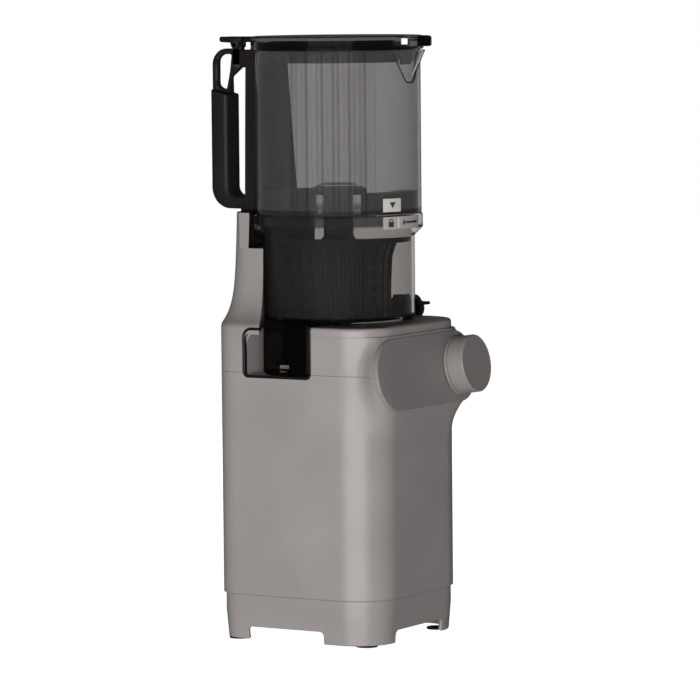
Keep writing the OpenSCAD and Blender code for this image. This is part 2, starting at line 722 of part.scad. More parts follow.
// pulp duct, which leads from the drum's floor down and out to the side
duct_pocket_t = 3;
module pulp_duct() color("#3a3735", 0.7) difference() {
    translate([duct_x0, duct_y0, duct_z0]) cube([duct_x1 - duct_x0, duct_y1 - duct_y0, drum_bot - duct_z0]);
    translate([chute_x0, port_y0, duct_z0 + drum_wall])
        cube([chute_x1 - chute_x0, port_y1 - port_y0, drum_bot - duct_z0]);
    translate([duct_x0 - over, port_y0, duct_z0 + drum_wall])
        cube([chute_x1 - duct_x0 + over, port_y1 - port_y0, drum_bot - duct_z0 - drum_wall - floor_t]);
    // moulding pocket, open below
    translate([duct_x0 + duct_pocket_t, duct_y0 + duct_pocket_t, duct_z0 - over])
        cube([duct_x1 - duct_x0 - 2 * duct_pocket_t, port_y0 - duct_y0 - 2 * duct_pocket_t,
            drum_bot - duct_z0 - duct_pocket_t + over]);
}

module juice_spout() color("#3a3735", 0.7) difference() {
    union() {
        translate([drum_r / 2, -spout_y, spout_z]) rotate([0, 90, 0])
            cylinder(r = spout_r, h = spout_x - drum_r / 2);
        for (s = [-1, 1]) translate([cap_pin_x, cap_pin_y, s * (ear_gap + ear_t / 2) + spout_z]) {
            cylinder(r = ear_r, h = ear_t, center = true);
            translate([-ear_r, -spout_r, -ear_t / 2]) cube([2 * ear_r, spout_r, ear_t]);
        }
    }
    translate([0, 0, drum_bot - over]) cylinder(r = drum_r, h = drum_h);
    spout_hole();
    translate([cap_pin_x, cap_pin_y, spout_z]) cylinder(r = pin_r, h = 4 * (ear_gap + ear_t), center = true);
}

module drum_seal() color("#6a6663") translate([0, 0, drum_bot - foot_ring_t + 2 * over]) difference() {
    cylinder(r = seal_r - run / 2, h = foot_ring_t + over);
    translate([0, 0, -over]) cylinder(r = drive_r + run, h = foot_ring_t + 3 * over);
}

plug_t = 3;          // the outlet plug's thickness
module outlet_plug() color("#55504d") translate([chute_x0 + fit, port_y0 + fit, duct_z0 + drum_wall + fit])
    cube([chute_x1 - chute_x0 - 2 * fit, port_y1 - port_y0 - 2 * fit, plug_t]);

module ring_patch(r0, r1, z0, z1, a0, a1) translate([0, 0, z0]) linear_extrude(z1 - z0) intersection() {
    difference() {
        circle(r1);
        circle(r0);
    }
    polygon([[0, 0], for (k = [0 : 4]) let (a = a0 + (a1 - a0) * k / 4) 2 * r1 * [cos(a), sin(a)]]);
}

mark_t = 0.5;
drum_mark_a = [-117.5, -79.5];
drum_mark_low = 0.7;
drum_mark_h = 10.3;
module drum_mark() color("#a9a5a2") ring_patch(collar_r, collar_r + mark_t,
    collar_top - collar_t + drum_mark_low, collar_top - collar_t + drum_mark_low + drum_mark_h,
    drum_mark_a[0], drum_mark_a[1]);

strain_in = 24;      // from the drum's outside to the strainer's lower edge
strain_rise = 13;    // how much wider its upper edge is
strain_bot = drum_r - strain_in;
strain_top = strain_bot + strain_rise;
strain_t = 1.5;
strain_gap = 7.8;    // from the strainer's top to the collar
strain_h = drum_h - collar_t - floor_t - strain_gap;
window_in = 10;      // the pulp window's reach into the basket
window_h = 8;
strain_flange = 4;
strain_ribs = 24;
module strainer() color("#2a2827") translate([0, 0, drum_floor + eps_fit]) {
    difference() {
        union() {
            cylinder(r1 = strain_bot, r2 = strain_top, h = strain_h);
            translate([0, 0, strain_h - strain_flange])
                cylinder(r = drum_r - drum_wall - fit, h = strain_flange);
            for (i = [1 : strain_ribs]) rotate([0, 0, (i + 1 / 2) * 360 / strain_ribs])
                translate([strain_bot - over, -strain_t / 2, 0]) cube([2 * over + strain_t, strain_t, strain_h]);
        }
        translate([0, 0, strain_t])
            cylinder(r1 = strain_bot - strain_t, r2 = strain_top - strain_t, h = strain_h);
        translate([0, 0, strain_h - strain_t]) cylinder(r = strain_top - strain_t, h = 2 * strain_t);
        translate([0, 0, -over]) cylinder(r = auger_core, h = 2 * strain_t + over);
        // the pulp leaves through a window low in the basket
        translate([-strain_bot - 2 * strain_t, port_y0, -over])
            cube([window_in + 2 * strain_t, port_y1 - port_y0, window_h + over]);
    }
}

auger_core = 20;
auger_lift = 3;      // the auger's lower edge above the drum's floor
auger_z = drum_floor + auger_lift;
auger_r = strain_bot - auger_play;
auger_short = 8;
auger_l = strain_h - auger_short;
flight_t = 5;
flight_turn = 300;
flights = 2;
stem_r = 12.5;
auger_reach = 16;    // how far the auger's stem reaches into the hopper
auger_top = hopper_bot + auger_reach;
module auger() color("#24211f") difference() {
    union() {
        translate([0, 0, auger_z]) cylinder(r = auger_core - over, h = auger_l);
        translate([0, 0, auger_z + auger_l]) cylinder(r1 = auger_core - over, r2 = stem_r, h = auger_core / 2);
        translate([0, 0, auger_z]) cylinder(r = stem_r, h = auger_top - auger_z);
        translate([0, 0, auger_z]) linear_extrude(auger_l, twist = -flight_turn, slices = 40, $fn = 16)
            for (i = [1 : flights]) rotate([0, 0, i * 360 / flights])
                translate([auger_core / 2, -flight_t / 2]) square([auger_r - auger_core / 2, flight_t]);
    }
    translate([0, 0, auger_z - over]) cylinder(r = (hex_af + hex_clear) / sqrt(3), h = hex_top + over - auger_z + fit,
        $fn = 6);
}

cutter_t = 9.5;
cutter_teeth = 20;
tooth_w = 3;
tooth_d = 2;
module auger_cutter() color("#24211f") translate([0, 0, auger_top]) difference() {
    union() {
        cylinder(r = cutter_r, h = cutter_t / 2);
        translate([0, 0, cutter_t / 2]) cylinder(r1 = cutter_r, r2 = stem_r, h = cutter_t / 2);
    }
    for (i = [1 : cutter_teeth]) rotate([0, 0, i * 360 / cutter_teeth])
        translate([cutter_r - tooth_d, -tooth_w / 2, -over]) cube([2 * tooth_d, tooth_w, cutter_t + 2 * over]);
}

// spout cap, which swings to the back about its upright pin
cap_r2 = 10;
cap_drop = 4.3;      // the cap's lower lobe hangs this far below the spout
cap_x0 = spout_x + fit;
cap_t = 7;
lever_w = 8;
lever_t = 2.5;
module spout_cap() color("#121110") difference() {
    union() {
        translate([cap_x0, -spout_y, spout_z - cap_drop]) rotate([0, 90, 0]) cylinder(r = cap_r2, h = cap_t);
        translate([cap_x0, -spout_y, spout_z]) rotate([0, 90, 0]) cylinder(r = spout_r, h = cap_t);
        translate([cap_pin_x, cap_pin_y, spout_z])
            cylinder(r = ear_r, h = 2 * (ear_gap - fit), center = true);
        translate([cap_pin_x, cap_pin_y - ear_r / 2, spout_z + fit - ear_gap])
            cube([cap_x0 + cap_t - cap_pin_x, ear_r + ear_r / 2, 2 * (ear_gap - fit)]);
        translate([cap_x0 + over, cap_pin_y - 2 * ear_r, spout_z + fit - ear_gap])
            cube([cap_t - over, 2 * ear_r, 2 * (ear_gap - fit)]);
        translate([cap_x0 + cap_t - over, -spout_y - lever_w / 2, spout_z - lever_t])
            cube([lever_l + over, lever_w, lever_t]);
    }
    translate([cap_pin_x, cap_pin_y, spout_z]) cylinder(r = pin_r + run, h = 4 * ear_gap, center = true);
}

module spout_pin() color("#b9b9b9") translate([cap_pin_x, cap_pin_y, spout_z])
    cylinder(r = pin_r, h = 2 * (ear_gap + ear_t), center = true);

// hopper
floor_h = 3;         // thickness of the hopper's floor
neck_h = 8.5;        // the neck's reach into the collar
lip_in = 12;
lip_y = hopper_r - lip_in;           // the pouring lip's cone lies this far in front
lip_low_r = 12.7;
module hopper() color("#8a8886", 0.35) difference() {
    union() {
        translate([0, 0, hopper_bot]) cylinder(r = hopper_r, h = hopper_top - hopper_bot);
        translate([0, -lip_y, hopper_top - lip_h]) cylinder(r1 = lip_low_r, r2 = lip_r, h = lip_h);
        translate([0, 0, hopper_bot - neck_h]) cylinder(r = neck_in - fit, h = neck_h + over);
    }
    translate([0, 0, hopper_bot + floor_h]) cylinder(r = hopper_r - hopper_wall, h = hopper_top);
    translate([0, -lip_y, hopper_top - lip_h + hopper_wall])
        cylinder(r1 = lip_low_r - hopper_wall / 2, r2 = lip_r - hopper_wall, h = lip_h);
    translate([0, 0, hopper_bot - neck_h - over])
        cylinder(r = neck_in - fit - hopper_wall, h = neck_h + over);
    translate([0, 0, hopper_bot - over]) cylinder(r = mouth_r, h = floor_h + 2 * over);
}

grooves = 12;
rib_a = [-161, -129];   // the grooved panel's span round the axis
rib_low = 26;           // its distance from the hopper's lower edge
rib_end = 13;           // its distance from the hopper's rim
rib_d = 2;
groove_d = 1;
groove_w = 2;
module hopper_ribs() color("#9a9896", 0.5) difference() {
    r = hopper_r - hopper_wall - eps_fit;
    ring_patch(r - rib_d, r, hopper_bot + rib_low, hopper_top - rib_end, rib_a[0], rib_a[1]);
    for (i = [1 : grooves]) let (a = rib_a[0] + (rib_a[1] - rib_a[0]) * i / (grooves + 1))
        rotate([0, 0, a]) translate([r - rib_d - over, -groove_w / 2, hopper_bot + rib_low + groove_w])
            cube([over + groove_d, groove_w, hopper_h - rib_low - rib_end - 2 * groove_w]);
}

block_w = 60;
block_d = 20;
block_in = hopper_r - block_d;
block_h = 16;
module hopper_blocks() color("#242220") intersection() {
    translate([0, 0, hopper_bot + floor_h]) difference() {
        cylinder(r = hopper_r - hopper_wall - fit, h = block_h);
        translate([0, 0, -over]) cylinder(r = block_in, h = block_h + 2 * over);
    }
    translate([-block_w / 2, -body_d, 0]) cube([block_w, 2 * body_d, hopper_top]);
}

hop_mark_a = [-117, -101.5];
hop_mark_low = 3.4;
hop_mark_h = 11;
module hopper_mark() color("#b5b1ae") ring_patch(hopper_r, hopper_r + mark_t,
    hopper_bot + hop_mark_low, hopper_bot + hop_mark_low + hop_mark_h, hop_mark_a[0], hop_mark_a[1]);

spine_d = 9;
spine_r = hopper_r + spine_d;        // outer radius of the spine along the hopper
step_up = 2.5;
spine_step = tower_h + step_up;      // height where the spine's lower block ends
spine_low_w = 74;
spine_top_w = 50;
module spine() color("#221f1d") difference() {
    intersection() {
        union() {
            slab(spine_step, hopper_top - eps_fit) difference() {
                circle(spine_r);
                circle(hopper_r + fit);
            }
            slab(saddle_h + 2 * fit, spine_step) difference() {
                intersection() {
                    circle(spine_out);
                    translate([-body_w, 0]) square([2 * body_w, spine_back]);
                }
                circle(spine_in);
            }
        }
        translate([0, body_d, 0]) rotate([90, 0, 0]) linear_extrude(body_d) polygon([
            [-spine_low_w / 2, saddle_h], [spine_low_w / 2, saddle_h],
            [spine_top_w / 2, hopper_top], [-spine_top_w / 2, hopper_top]]);
    }
    translate([-bar_w / 2 - bar_play, bar_y - bar_t / 2 - bar_play, saddle_h - over])
        cube([bar_w + 2 * bar_play, bar_t + 2 * bar_play, hopper_top]);
}

// handle: a deep grip, a thin web with a crescent slot over it, and an arm to the spine
arm_z = tower_h + 2 * fit;
arm_t = 11;
grip_drop = 35;
grip_top = hopper_top - grip_drop;
bend_r = 18;
web_w = 6;
top_arm_t = 15;
top_arm_z = hopper_top - top_arm_t;
hinge_up = 4;
hinge_z = hopper_top + hinge_up;
hub_r = 3.4;
strap_t = 5;
web_d = 22;
leg_y = grip_y - web_d;
slot_r = 6;
module grip_outline() {
    translate([grip_y - grip_t, arm_z + bend_r]) square([grip_t, grip_top - arm_z - bend_r]);
    intersection() {
        translate([grip_y - bend_r, arm_z + bend_r]) circle(bend_r);
        translate([grip_y - bend_r, arm_z]) square(bend_r);
    }
    translate([0, arm_z]) square([grip_y - bend_r, arm_t]);
    difference() {
        translate([grip_y - grip_t - bend_r / 2, arm_z + arm_t - over]) square([grip_t, bend_r / 2 + over]);
        translate([grip_y - grip_t - bend_r / 2, arm_z + arm_t + bend_r / 2]) circle(bend_r / 2);
    }
}
module web_outline() difference() {
    union() {
        translate([leg_y, grip_top - over]) square([grip_y - leg_y - bend_r, arch_z - grip_top + over]);
        translate([grip_y - bend_r, arch_z - bend_r]) circle(bend_r);
        translate([leg_y, grip_top - over]) square([grip_y - leg_y, arch_z - bend_r - grip_top + over]);
    }
    translate([leg_y + strap_t + slot_r, grip_top + slot_r]) circle(slot_r);
    translate([leg_y + strap_t, grip_top + slot_r])
        square([2 * slot_r, arch_z - strap_t - slot_r - grip_top - slot_r]);
    translate([leg_y + strap_t + slot_r, arch_z - strap_t - slot_r]) circle(slot_r);
}
arch_z = hopper_top + over;
module along_x(w) translate([-w / 2, 0, 0]) rotate([90, 0, 90]) linear_extrude(w) children();
module handle() color("#282422") difference() {
    union() {
        along_x(grip_w) grip_outline();
        along_x(web_w) web_outline();
        along_x(2 * bar_w) translate([0, top_arm_z]) square([hinge_y - hub_r - 2 * over, top_arm_t]);
        along_x(web_w) translate([0, top_arm_z]) square([leg_y + over, top_arm_t]);
        along_x(web_w) translate([hinge_y - hub_r, top_arm_z]) square([2 * hub_r, hinge_z - top_arm_z]);
        translate([-web_w / 2, hinge_y, hinge_z]) rotate([0, 90, 0]) cylinder(r = hub_r, h = web_w);
    }
    translate([0, 0, tower_h - body_d]) cylinder(r = spine_r + run, h = 3 * body_d);
    translate([0, hinge_y, hinge_z]) rotate([0, 90, 0]) cylinder(r = pin_r + run, h = body_w, center = true);
}

module interlock_bar() color("#4a4644")
    translate([-bar_w / 2, bar_y - bar_t / 2, saddle_h + 2 * bar_play])
        cube([bar_w, bar_t, hopper_top - saddle_h - 2 * bar_play]);

prong_t = 3.6;
prong_in = web_w / 2 + 2 * bar_play;
module hinge_pin() color("#b9b9b9") translate([0, hinge_y, hinge_z]) rotate([0, 90, 0])
    cylinder(r = pin_r, h = 2 * (prong_in + prong_t), center = true);

// lid
lid_bot = hopper_top + 2 * bar_play;
lid_top = lid_bot + lid_t;
lobe_r = 24;
lobe_in = 6;
lobe_y = hopper_r - lobe_in;
tab_t = 4.7;
tab_z = lid_top - tab_t - 2 * bar_play;
lobe_lift = 2.6;     // the front lobe's underside lies this much higher than the rim's
module lid_lobe(i) translate([0, -lobe_y]) circle(lobe_r - i);
rim_d = 2;
rim_in = hopper_r - rim_d;
module lid() color("#33302e", 0.85) difference() {
    union() {
        difference() {
            union() {
                slab(lid_bot, lid_top) circle(lid_r);
                slab(lid_bot + lobe_lift, lid_top) lid_lobe(0);
            }
            slab(lid_bot - over, lid_top - lid_plate) {
                circle(rim_in);
                lid_lobe(hopper_wall);
            }
        }
        translate([-prong_in - prong_t, lid_r - 2 * over, tab_z])
            cube([2 * (prong_in + prong_t), hinge_y + tab_l - lid_r + 2 * over, tab_t]);
        for (s = [-1, 1]) translate([s * (prong_in + prong_t / 2), hinge_y, hinge_z]) {
            rotate([0, 90, 0]) cylinder(r = hub_r, h = prong_t, center = true);
            translate([-prong_t / 2, -hub_r, 0]) cube([prong_t, 2 * hub_r, tab_z - hinge_z + over]);
        }
    }
    translate([-prong_in, hinge_y - 2 * hub_r, lid_bot])
        cube([2 * prong_in, 4 * hub_r + tab_l, lid_t + over]);
    translate([0, hinge_y, hinge_z]) rotate([0, 90, 0]) cylinder(r = pin_r + run, h = body_w, center = true);
}

seal_play = 1.3;
skirt_r = hopper_r - hopper_wall - seal_play;
skirt_t = 2;
skirt_drop = 10;
module lid_seal() color("#3d3a38") translate([0, 0, hopper_top - skirt_drop]) difference() {
    cylinder(r = skirt_r, h = skirt_drop + lid_bot - hopper_top + lid_t - lid_plate);
    translate([0, 0, -over]) cylinder(r = skirt_r - skirt_t, h = body_d);
    translate([-guard_w / 2 - fit, -body_d, -over]) cube([guard_w + 2 * fit, body_d - block_in, body_d]);
}

guard_w = 20;
guard_t = 6;
guard_drop = 6;
tongue_drop = 12;
tongue_t = 1.2;
tongue_w = 16;
module spout_guard() color("#141312") {
    translate([-guard_w / 2, -skirt_r, hopper_top - guard_drop])
        cube([guard_w, guard_t, guard_drop + lid_bot - hopper_top + lid_t - lid_plate]);
    translate([-tongue_w / 2, -skirt_r - tongue_t, hopper_top - tongue_drop])
        cube([tongue_w, tongue_t + over, tongue_drop - guard_drop + 2 * over]);
}

lid_mark_s = 5;
lid_mark_a = -146.5;
module lid_mark() color("#e8e6e3") translate([0, -lobe_y, lid_top - lid_t / 2 - lid_mark_s / 2 + lobe_lift / 2])
    rotate([0, 0, lid_mark_a]) translate([lobe_r, -lid_mark_s / 2, 0]) cube([mark_t, lid_mark_s, lid_mark_s]);

base_skirt();
foot_pads();
base_plate();
base_screws();
lower_casing();
upper_casing();
deck();
deck_screws();
head_shell();
control_panel();
knob();
knob_shaft();
rotary_switch();
outlet_bay();
outlet_trim();
power_inlet();
circuit_board();
interlock_switch();
chassis();
motor_can();
stator();
rotor();
motor_shaft();
motor_bearings();
cooling_fan();
motor_pinion();
gearbox_case();
gearbox_cover();
counter_shaft();
counter_gear();
output_gear();
drive_shaft();
drive_bearing();
drum();
drum_base();
pulp_duct();
juice_spout();
drum_seal();
outlet_plug();
drum_mark();
strainer();
auger();
auger_cutter();
spout_cap();
spout_pin();
hopper();
hopper_ribs();
hopper_blocks();
hopper_mark();
spine();
handle();
interlock_bar();
hinge_pin();
lid();
lid_seal();
spout_guard();
lid_mark();
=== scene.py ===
import math
import bpy
import bmesh
import numpy as np
from mathutils import Matrix, Vector


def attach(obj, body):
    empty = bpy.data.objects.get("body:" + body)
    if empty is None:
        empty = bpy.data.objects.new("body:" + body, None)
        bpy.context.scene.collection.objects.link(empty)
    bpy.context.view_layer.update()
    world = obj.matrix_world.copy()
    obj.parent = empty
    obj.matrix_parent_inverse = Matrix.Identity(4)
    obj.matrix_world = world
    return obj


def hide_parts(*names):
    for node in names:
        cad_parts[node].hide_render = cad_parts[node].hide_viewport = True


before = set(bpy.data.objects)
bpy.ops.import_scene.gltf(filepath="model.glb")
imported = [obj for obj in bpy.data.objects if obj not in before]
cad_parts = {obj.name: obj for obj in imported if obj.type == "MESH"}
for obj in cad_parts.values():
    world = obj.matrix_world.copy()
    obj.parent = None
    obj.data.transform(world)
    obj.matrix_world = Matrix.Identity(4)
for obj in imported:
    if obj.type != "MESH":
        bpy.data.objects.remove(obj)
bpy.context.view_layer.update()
mm = 0.001
print("frame loaded:", len(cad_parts), "nodes")

# camera, distances in mm
camera = {"azimuth": -58.999, "elevation": 4.8253, "roll": 0.5342, "focalPx": 4524.89, "widthPx": 700,
          "sensor": 36.0, "distance": 3814.48, "target": (4.444, -7.409, 240.277)}


def makeCamera(v):
    # back points from the object to the camera; right and up are turned by the roll
    a, e, r = (math.radians(v[k]) for k in ("azimuth", "elevation", "roll"))
    back = np.array([math.sin(a) * math.cos(e), -math.cos(a) * math.cos(e), math.sin(e)])
    right = np.array([math.cos(a), math.sin(a), 0.0])
    up = np.cross(back, right)
    rightRolled = right * math.cos(r) - up * math.sin(r)
    upRolled = up * math.cos(r) + right * math.sin(r)
    place = (np.array(v["target"]) + v["distance"] * back) * mm
    data = bpy.data.cameras.new("photoCamera")
    data.sensor_width = v["sensor"]
    data.lens = v["focalPx"] / v["widthPx"] * v["sensor"]
    data.clip_start, data.clip_end = 0.1, 40
    obj = bpy.data.objects.new("photoCamera", data)
    bpy.context.scene.collection.objects.link(obj)
    m = np.eye(4)
    m[:3, 0], m[:3, 1], m[:3, 2], m[:3, 3] = rightRolled, upRolled, back, place
    obj.matrix_world = Matrix(m.tolist())
    bpy.context.scene.camera = obj


makeCamera(camera)

# mesh helpers, lengths in mm unless a comment says otherwise
mesh = {"weld": 2e-6, "degenerate": 1e-7, "smooth": 35, "bevelAngle": 50, "probe": 0.01, "cut": -0.02}


def addMesh(name, verts, faces, smoothAngle):
    # verts in metres; points closer than the weld distance become one
    data = bpy.data.meshes.new(name)
    data.from_pydata(verts.tolist(), [], faces)
    bm = bmesh.new()
    bm.from_mesh(data)
    bmesh.ops.remove_doubles(bm, verts=bm.verts, dist=mesh["weld"])
    bmesh.ops.dissolve_degenerate(bm, dist=mesh["degenerate"], edges=bm.edges)
    bm.to_mesh(data)
    bm.free()
    data.shade_smooth()
    data.set_sharp_from_angle(angle=math.radians(smoothAngle))
    obj = bpy.data.objects.new(name, data)
    bpy.context.scene.collection.objects.link(obj)
    return obj


def gridMesh(name, grid, loopU=False, loopV=False, capStart=False, capEnd=False, keep=None,
             smoothAngle=mesh["smooth"]):
    # grid is (nu, nv, 3); quads run u then v, so u round and v up gives outward faces
    nu, nv = grid.shape[:2]
    idx = np.arange(nu * nv).reshape(nu, nv)
    iu = np.arange(nu if loopU else nu - 1)
    iv = np.arange(nv if loopV else nv - 1)
    a = idx[iu][:, iv]
    b = idx[(iu + 1) % nu][:, iv]
    c = idx[(iu + 1) % nu][:, (iv + 1) % nv]
    d = idx[iu][:, (iv + 1) % nv]
    quads = np.stack([a, b, c, d], -1)
    if keep is not None:
        quads = quads[keep[: quads.shape[0], : quads.shape[1]]]
    faces = quads.reshape(-1, 4).tolist()
    if capStart:
        faces.append(idx[:, 0][::-1].tolist())
    if capEnd:
        faces.append(idx[:, -1].tolist())
    return addMesh(name, grid.reshape(-1, 3) * mm, faces, smoothAngle)


def barMesh(name, rows, smoothAngle=mesh["smooth"]):
    # closed sections joined one after the other, both ends capped
    return gridMesh(name, np.stack(rows, 1), loopU=True, capStart=True, capEnd=True, smoothAngle=smoothAngle)


def bevelEdges(obj, width, segments):
    bevel = obj.modifiers.new("edges", "BEVEL")
    bevel.width, bevel.segments = width * mm, segments
    bevel.angle_limit = math.radians(mesh["bevelAngle"])
    return obj


def thicken(obj, thickness, side):
    wall = obj.modifiers.new("wall", "SOLIDIFY")
    wall.thickness, wall.offset = thickness * mm, side
    return obj


def polar(r, a, z):
    # points at radius r and angle a, heights spread over the same grid
    return np.stack([r * np.cos(a), r * np.sin(a), np.broadcast_to(z, r.shape)], -1)


def revolve(name, profile, n):
    # profile (r, z) turned round the upright axis
    a = np.linspace(0, 2 * np.pi, n, endpoint=False)[:, None]
    return gridMesh(name, polar(0 * a + profile[:, 0], a, profile[:, 1]), loopU=True)


def atHeight(p, z):
    return np.c_[p, np.full(len(p), z)]


def atX(x, p):
    return np.c_[np.full(len(p), x), p]


def quarter(cx, cy, r, start, n):
    # quarter circle of n points from the start angle
    t = np.radians(np.linspace(start, start + 90, n))
    return np.c_[cx + r * np.cos(t), cy + r * np.sin(t)]


def roundPath(points, radii, n=6):
    # a polyline whose corners are arcs: each corner of radius r starts and ends r / tan(half its angle) from it
    p = np.array(points, float)
    out = [p[:1]]
    for k in range(1, len(p) - 1):
        a, b = p[k - 1] - p[k], p[k + 1] - p[k]
        la, lb = np.linalg.norm(a), np.linalg.norm(b)
        a, b = a / la, b / lb
        half = math.acos(max(-1, min(1, float(a @ b)))) / 2
        r = radii[k]
        if r <= 0 or half > math.pi / 2 - 0.02:
            out.append(p[k:k + 1])
            continue
        reach = min(r / math.tan(half), 0.49 * la, 0.49 * lb)
        r = reach * math.tan(half)
        mid = (a + b) / np.linalg.norm(a + b) * (r / math.sin(half))
        s, e = a * reach - mid, b * reach - mid
        t = np.linspace(0, 1, n + 1)[:, None]
        w = math.acos(max(-1, min(1, float(s @ e) / r / r)))
        arc = (np.sin((1 - t) * w) * s + np.sin(t * w) * e) / max(math.sin(w), 1e-9)
        out.append(p[k] + mid + arc)
    out.append(p[-1:])
    return np.vstack(out)


def sweep(name, path, normals, binormals, section):
    # section (a, b) carried along the path: point = path + a * normal + b * binormal
    sec = np.asarray(section, float)[None]
    g = path[:, None] + sec[..., :1] * normals[:, None] + sec[..., 1:] * binormals[:, None]
    return barMesh(name, g)


def roundRect(halfA, halfB, r, n=6):
    # counter-clockwise rounded rectangle; r is one radius, or four from the +a +b corner round
    rs = [r] * 4 if np.isscalar(r) else r
    corners = ((1, 1, 0), (-1, 1, 90), (-1, -1, 180), (1, -1, 270))
    return np.vstack([quarter(sa * (halfA - q), sb * (halfB - q), q, start, n + 1)
                      for (sa, sb, start), q in zip(corners, rs)])


def cornerField(a, b, r):
    # distance outside the corner where a = 0 and b = 0 meet in a radius r
    rounded = np.hypot(np.maximum(a + r, 0), np.maximum(b + r, 0)) - r
    return np.where((a > -r) & (b > -r), rounded, np.maximum(a, b))


def snapToZero(g, field, axes, width, mask=True):
    # moves the grid's points within the width of the field's zero line onto it, along the field's slope
    f, e = field(g), mesh["probe"]
    slopes = [(field(g + e * np.eye(3)[k]) - f) / e for k in axes]
    for k, slope in zip(axes, slopes):
        g[..., k] -= np.where(mask & (np.abs(f) < width), f * slope, 0)


def cellsOutside(f):
    # cells of a looped grid whose mean value lies outside the field's zero line
    after = np.roll(f, -1, axis=0)
    return (f[:, :-1] + after[:, :-1] + f[:, 1:] + after[:, 1:]) / 4 > mesh["cut"]


def dress(obj, body, slot, material, *nodes):
    obj.data.materials.clear()
    obj.data.materials.append(material)
    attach(obj, body)
    if nodes:
        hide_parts(*nodes)


# materials
print("materials")


def linear(rgb):
    c = np.array(rgb, float) / 255
    return tuple(np.where(c <= 0.04045, c / 12.92, ((c + 0.055) / 1.055) ** 2.4)) + (1.0,)


def feed(t, target, inputs):
    # sockets among the inputs are linked, other values are set
    for key, value in inputs.items():
        if isinstance(value, bpy.types.NodeSocket):
            t.links.new(value, target.inputs[key])
        else:
            target.inputs[key].default_value = value


def addNode(t, kind, inputs, **settings):
    made = t.nodes.new("ShaderNode" + kind)
    for key, value in settings.items():
        setattr(made, key, value)
    feed(t, made, inputs)
    return made


def maths(t, op, *args):
    return addNode(t, "Math", dict(enumerate(args)), operation=op).outputs[0]


def times(t, a, b):
    return maths(t, "MULTIPLY", a, b)


def startMaterial(name):
    m = bpy.data.materials.new(name)
    m.use_nodes = True
    t = m.node_tree
    return m, t, t.nodes["Principled BSDF"], addNode(t, "TexCoord", {}).outputs["Object"]


def noise(t, vector, scale, detail=2.0):
    return addNode(t, "TexNoise", {"Vector": vector, "Scale": scale, "Detail": detail}).outputs["Fac"]


def twoTone(t, fac, rgb, spread, ends=(0.0, 1.0)):
    # one colour drifting between a darker and a lighter version of itself
    ramp = addNode(t, "ValToRGB", {"Fac": fac})
    base = np.array(linear(rgb))[:3]
    tones = base * (1 - spread), np.minimum(base * (1 + spread), 1)
    for stop, at, tone in zip(ramp.color_ramp.elements, ends, tones):
        stop.position, stop.color = at, (*tone, 1.0)
    return ramp.outputs["Color"]


def spanned(t, fac, low, high):
    return addNode(t, "MapRange", {"Value": fac, "To Min": low, "To Max": high}).outputs["Result"]


def bumped(t, height, strength, distance):
    # distance in metres
    return addNode(t, "Bump", {"Height": height, "Strength": strength, "Distance": distance}).outputs["Normal"]


def plastic(name, rgb, rough=0.42, grain=0.35, grainMm=0.35, spread=0.05, specular=0.5):
    # moulded plastic: fine spark-eroded grain as bump, a slow drift of tone, and uneven gloss
    m, t, b, coord = startMaterial(name)
    fine = noise(t, coord, 1.0 / (grainMm * mm))
    slow = noise(t, coord, 14.0, 3.0)
    feed(t, b, {"Base Color": twoTone(t, slow, rgb, spread, (0.35, 0.65)), "Specular IOR Level": specular,
                "Roughness": spanned(t, slow, rough - 0.05, rough + 0.05), "Normal": bumped(t, fine, grain, 0.00005)})
    return m


def ribLines(t, xyz, level, ribs):
    # level * (1 - depth * window(angle) * (0.5 + 0.5 sin(count * angle)) * drift)
    a0, a1, count, depth = ribs
    mid, half = math.radians((a0 + a1) / 2), math.radians((a1 - a0) / 2)
    c, s = math.cos(mid), math.sin(mid)
    x = maths(t, "ADD", times(t, xyz["X"], c), times(t, xyz["Y"], s))
    y = maths(t, "SUBTRACT", times(t, xyz["Y"], c), times(t, xyz["X"], s))
    angle = maths(t, "ARCTAN2", y, x)
    window = maths(t, "LESS_THAN", maths(t, "ABSOLUTE", angle), half)
    wave = maths(t, "MULTIPLY_ADD", maths(t, "SINE", times(t, angle, count)), 0.5, 0.5)
    drift = maths(t, "MULTIPLY_ADD", maths(t, "SINE", times(t, angle, count * 0.37)), 0.4, 0.6)
    lines = times(t, times(t, wave, drift), window)
    return times(t, level, maths(t, "MULTIPLY_ADD", lines, -depth, 1.0))


def smoky(name, rgb, rough=0.02, edge=0.45, ripple=0.08, ribs=None, clear=0.97, ior=1.14, foot=None):
    # tinted clear plastic: the tint is the colour of one wall, darker where the wall is seen edge on, with slight
    # flow ripples from moulding; ribs = (from angle, to angle, count per turn, depth) draws fine upright lines,
    # foot = (height, share) darkens the tone below that height as painted shade where the wall sits down in the part
    # under it
    m, t, b, coord = startMaterial(name)
    flow = noise(t, coord, 22.0)
    facing = addNode(t, "LayerWeight", {"Blend": 0.5}).outputs["Facing"]
    level = maths(t, "MULTIPLY_ADD", maths(t, "POWER", facing, 2.2), -edge, 1.0)
    xyz = addNode(t, "SeparateXYZ", {0: coord}).outputs
    if ribs:
        level = ribLines(t, xyz, level, ribs)
    # painted shade: the tone drops to the share below the given height
    if foot:
        under = maths(t, "LESS_THAN", xyz["Z"], foot[0] * mm)
        level = times(t, level, maths(t, "MULTIPLY_ADD", under, foot[1] - 1.0, 1.0))
    tone = addNode(t, "VectorMath", {0: twoTone(t, flow, rgb, 0.04), "Scale": level}, operation="SCALE")
    feed(t, b, {"Base Color": tone.outputs[0], "Roughness": spanned(t, flow, rough, rough + 0.02),
                "Normal": bumped(t, flow, ripple, 0.0004), "Transmission Weight": clear, "IOR": ior})
    return m


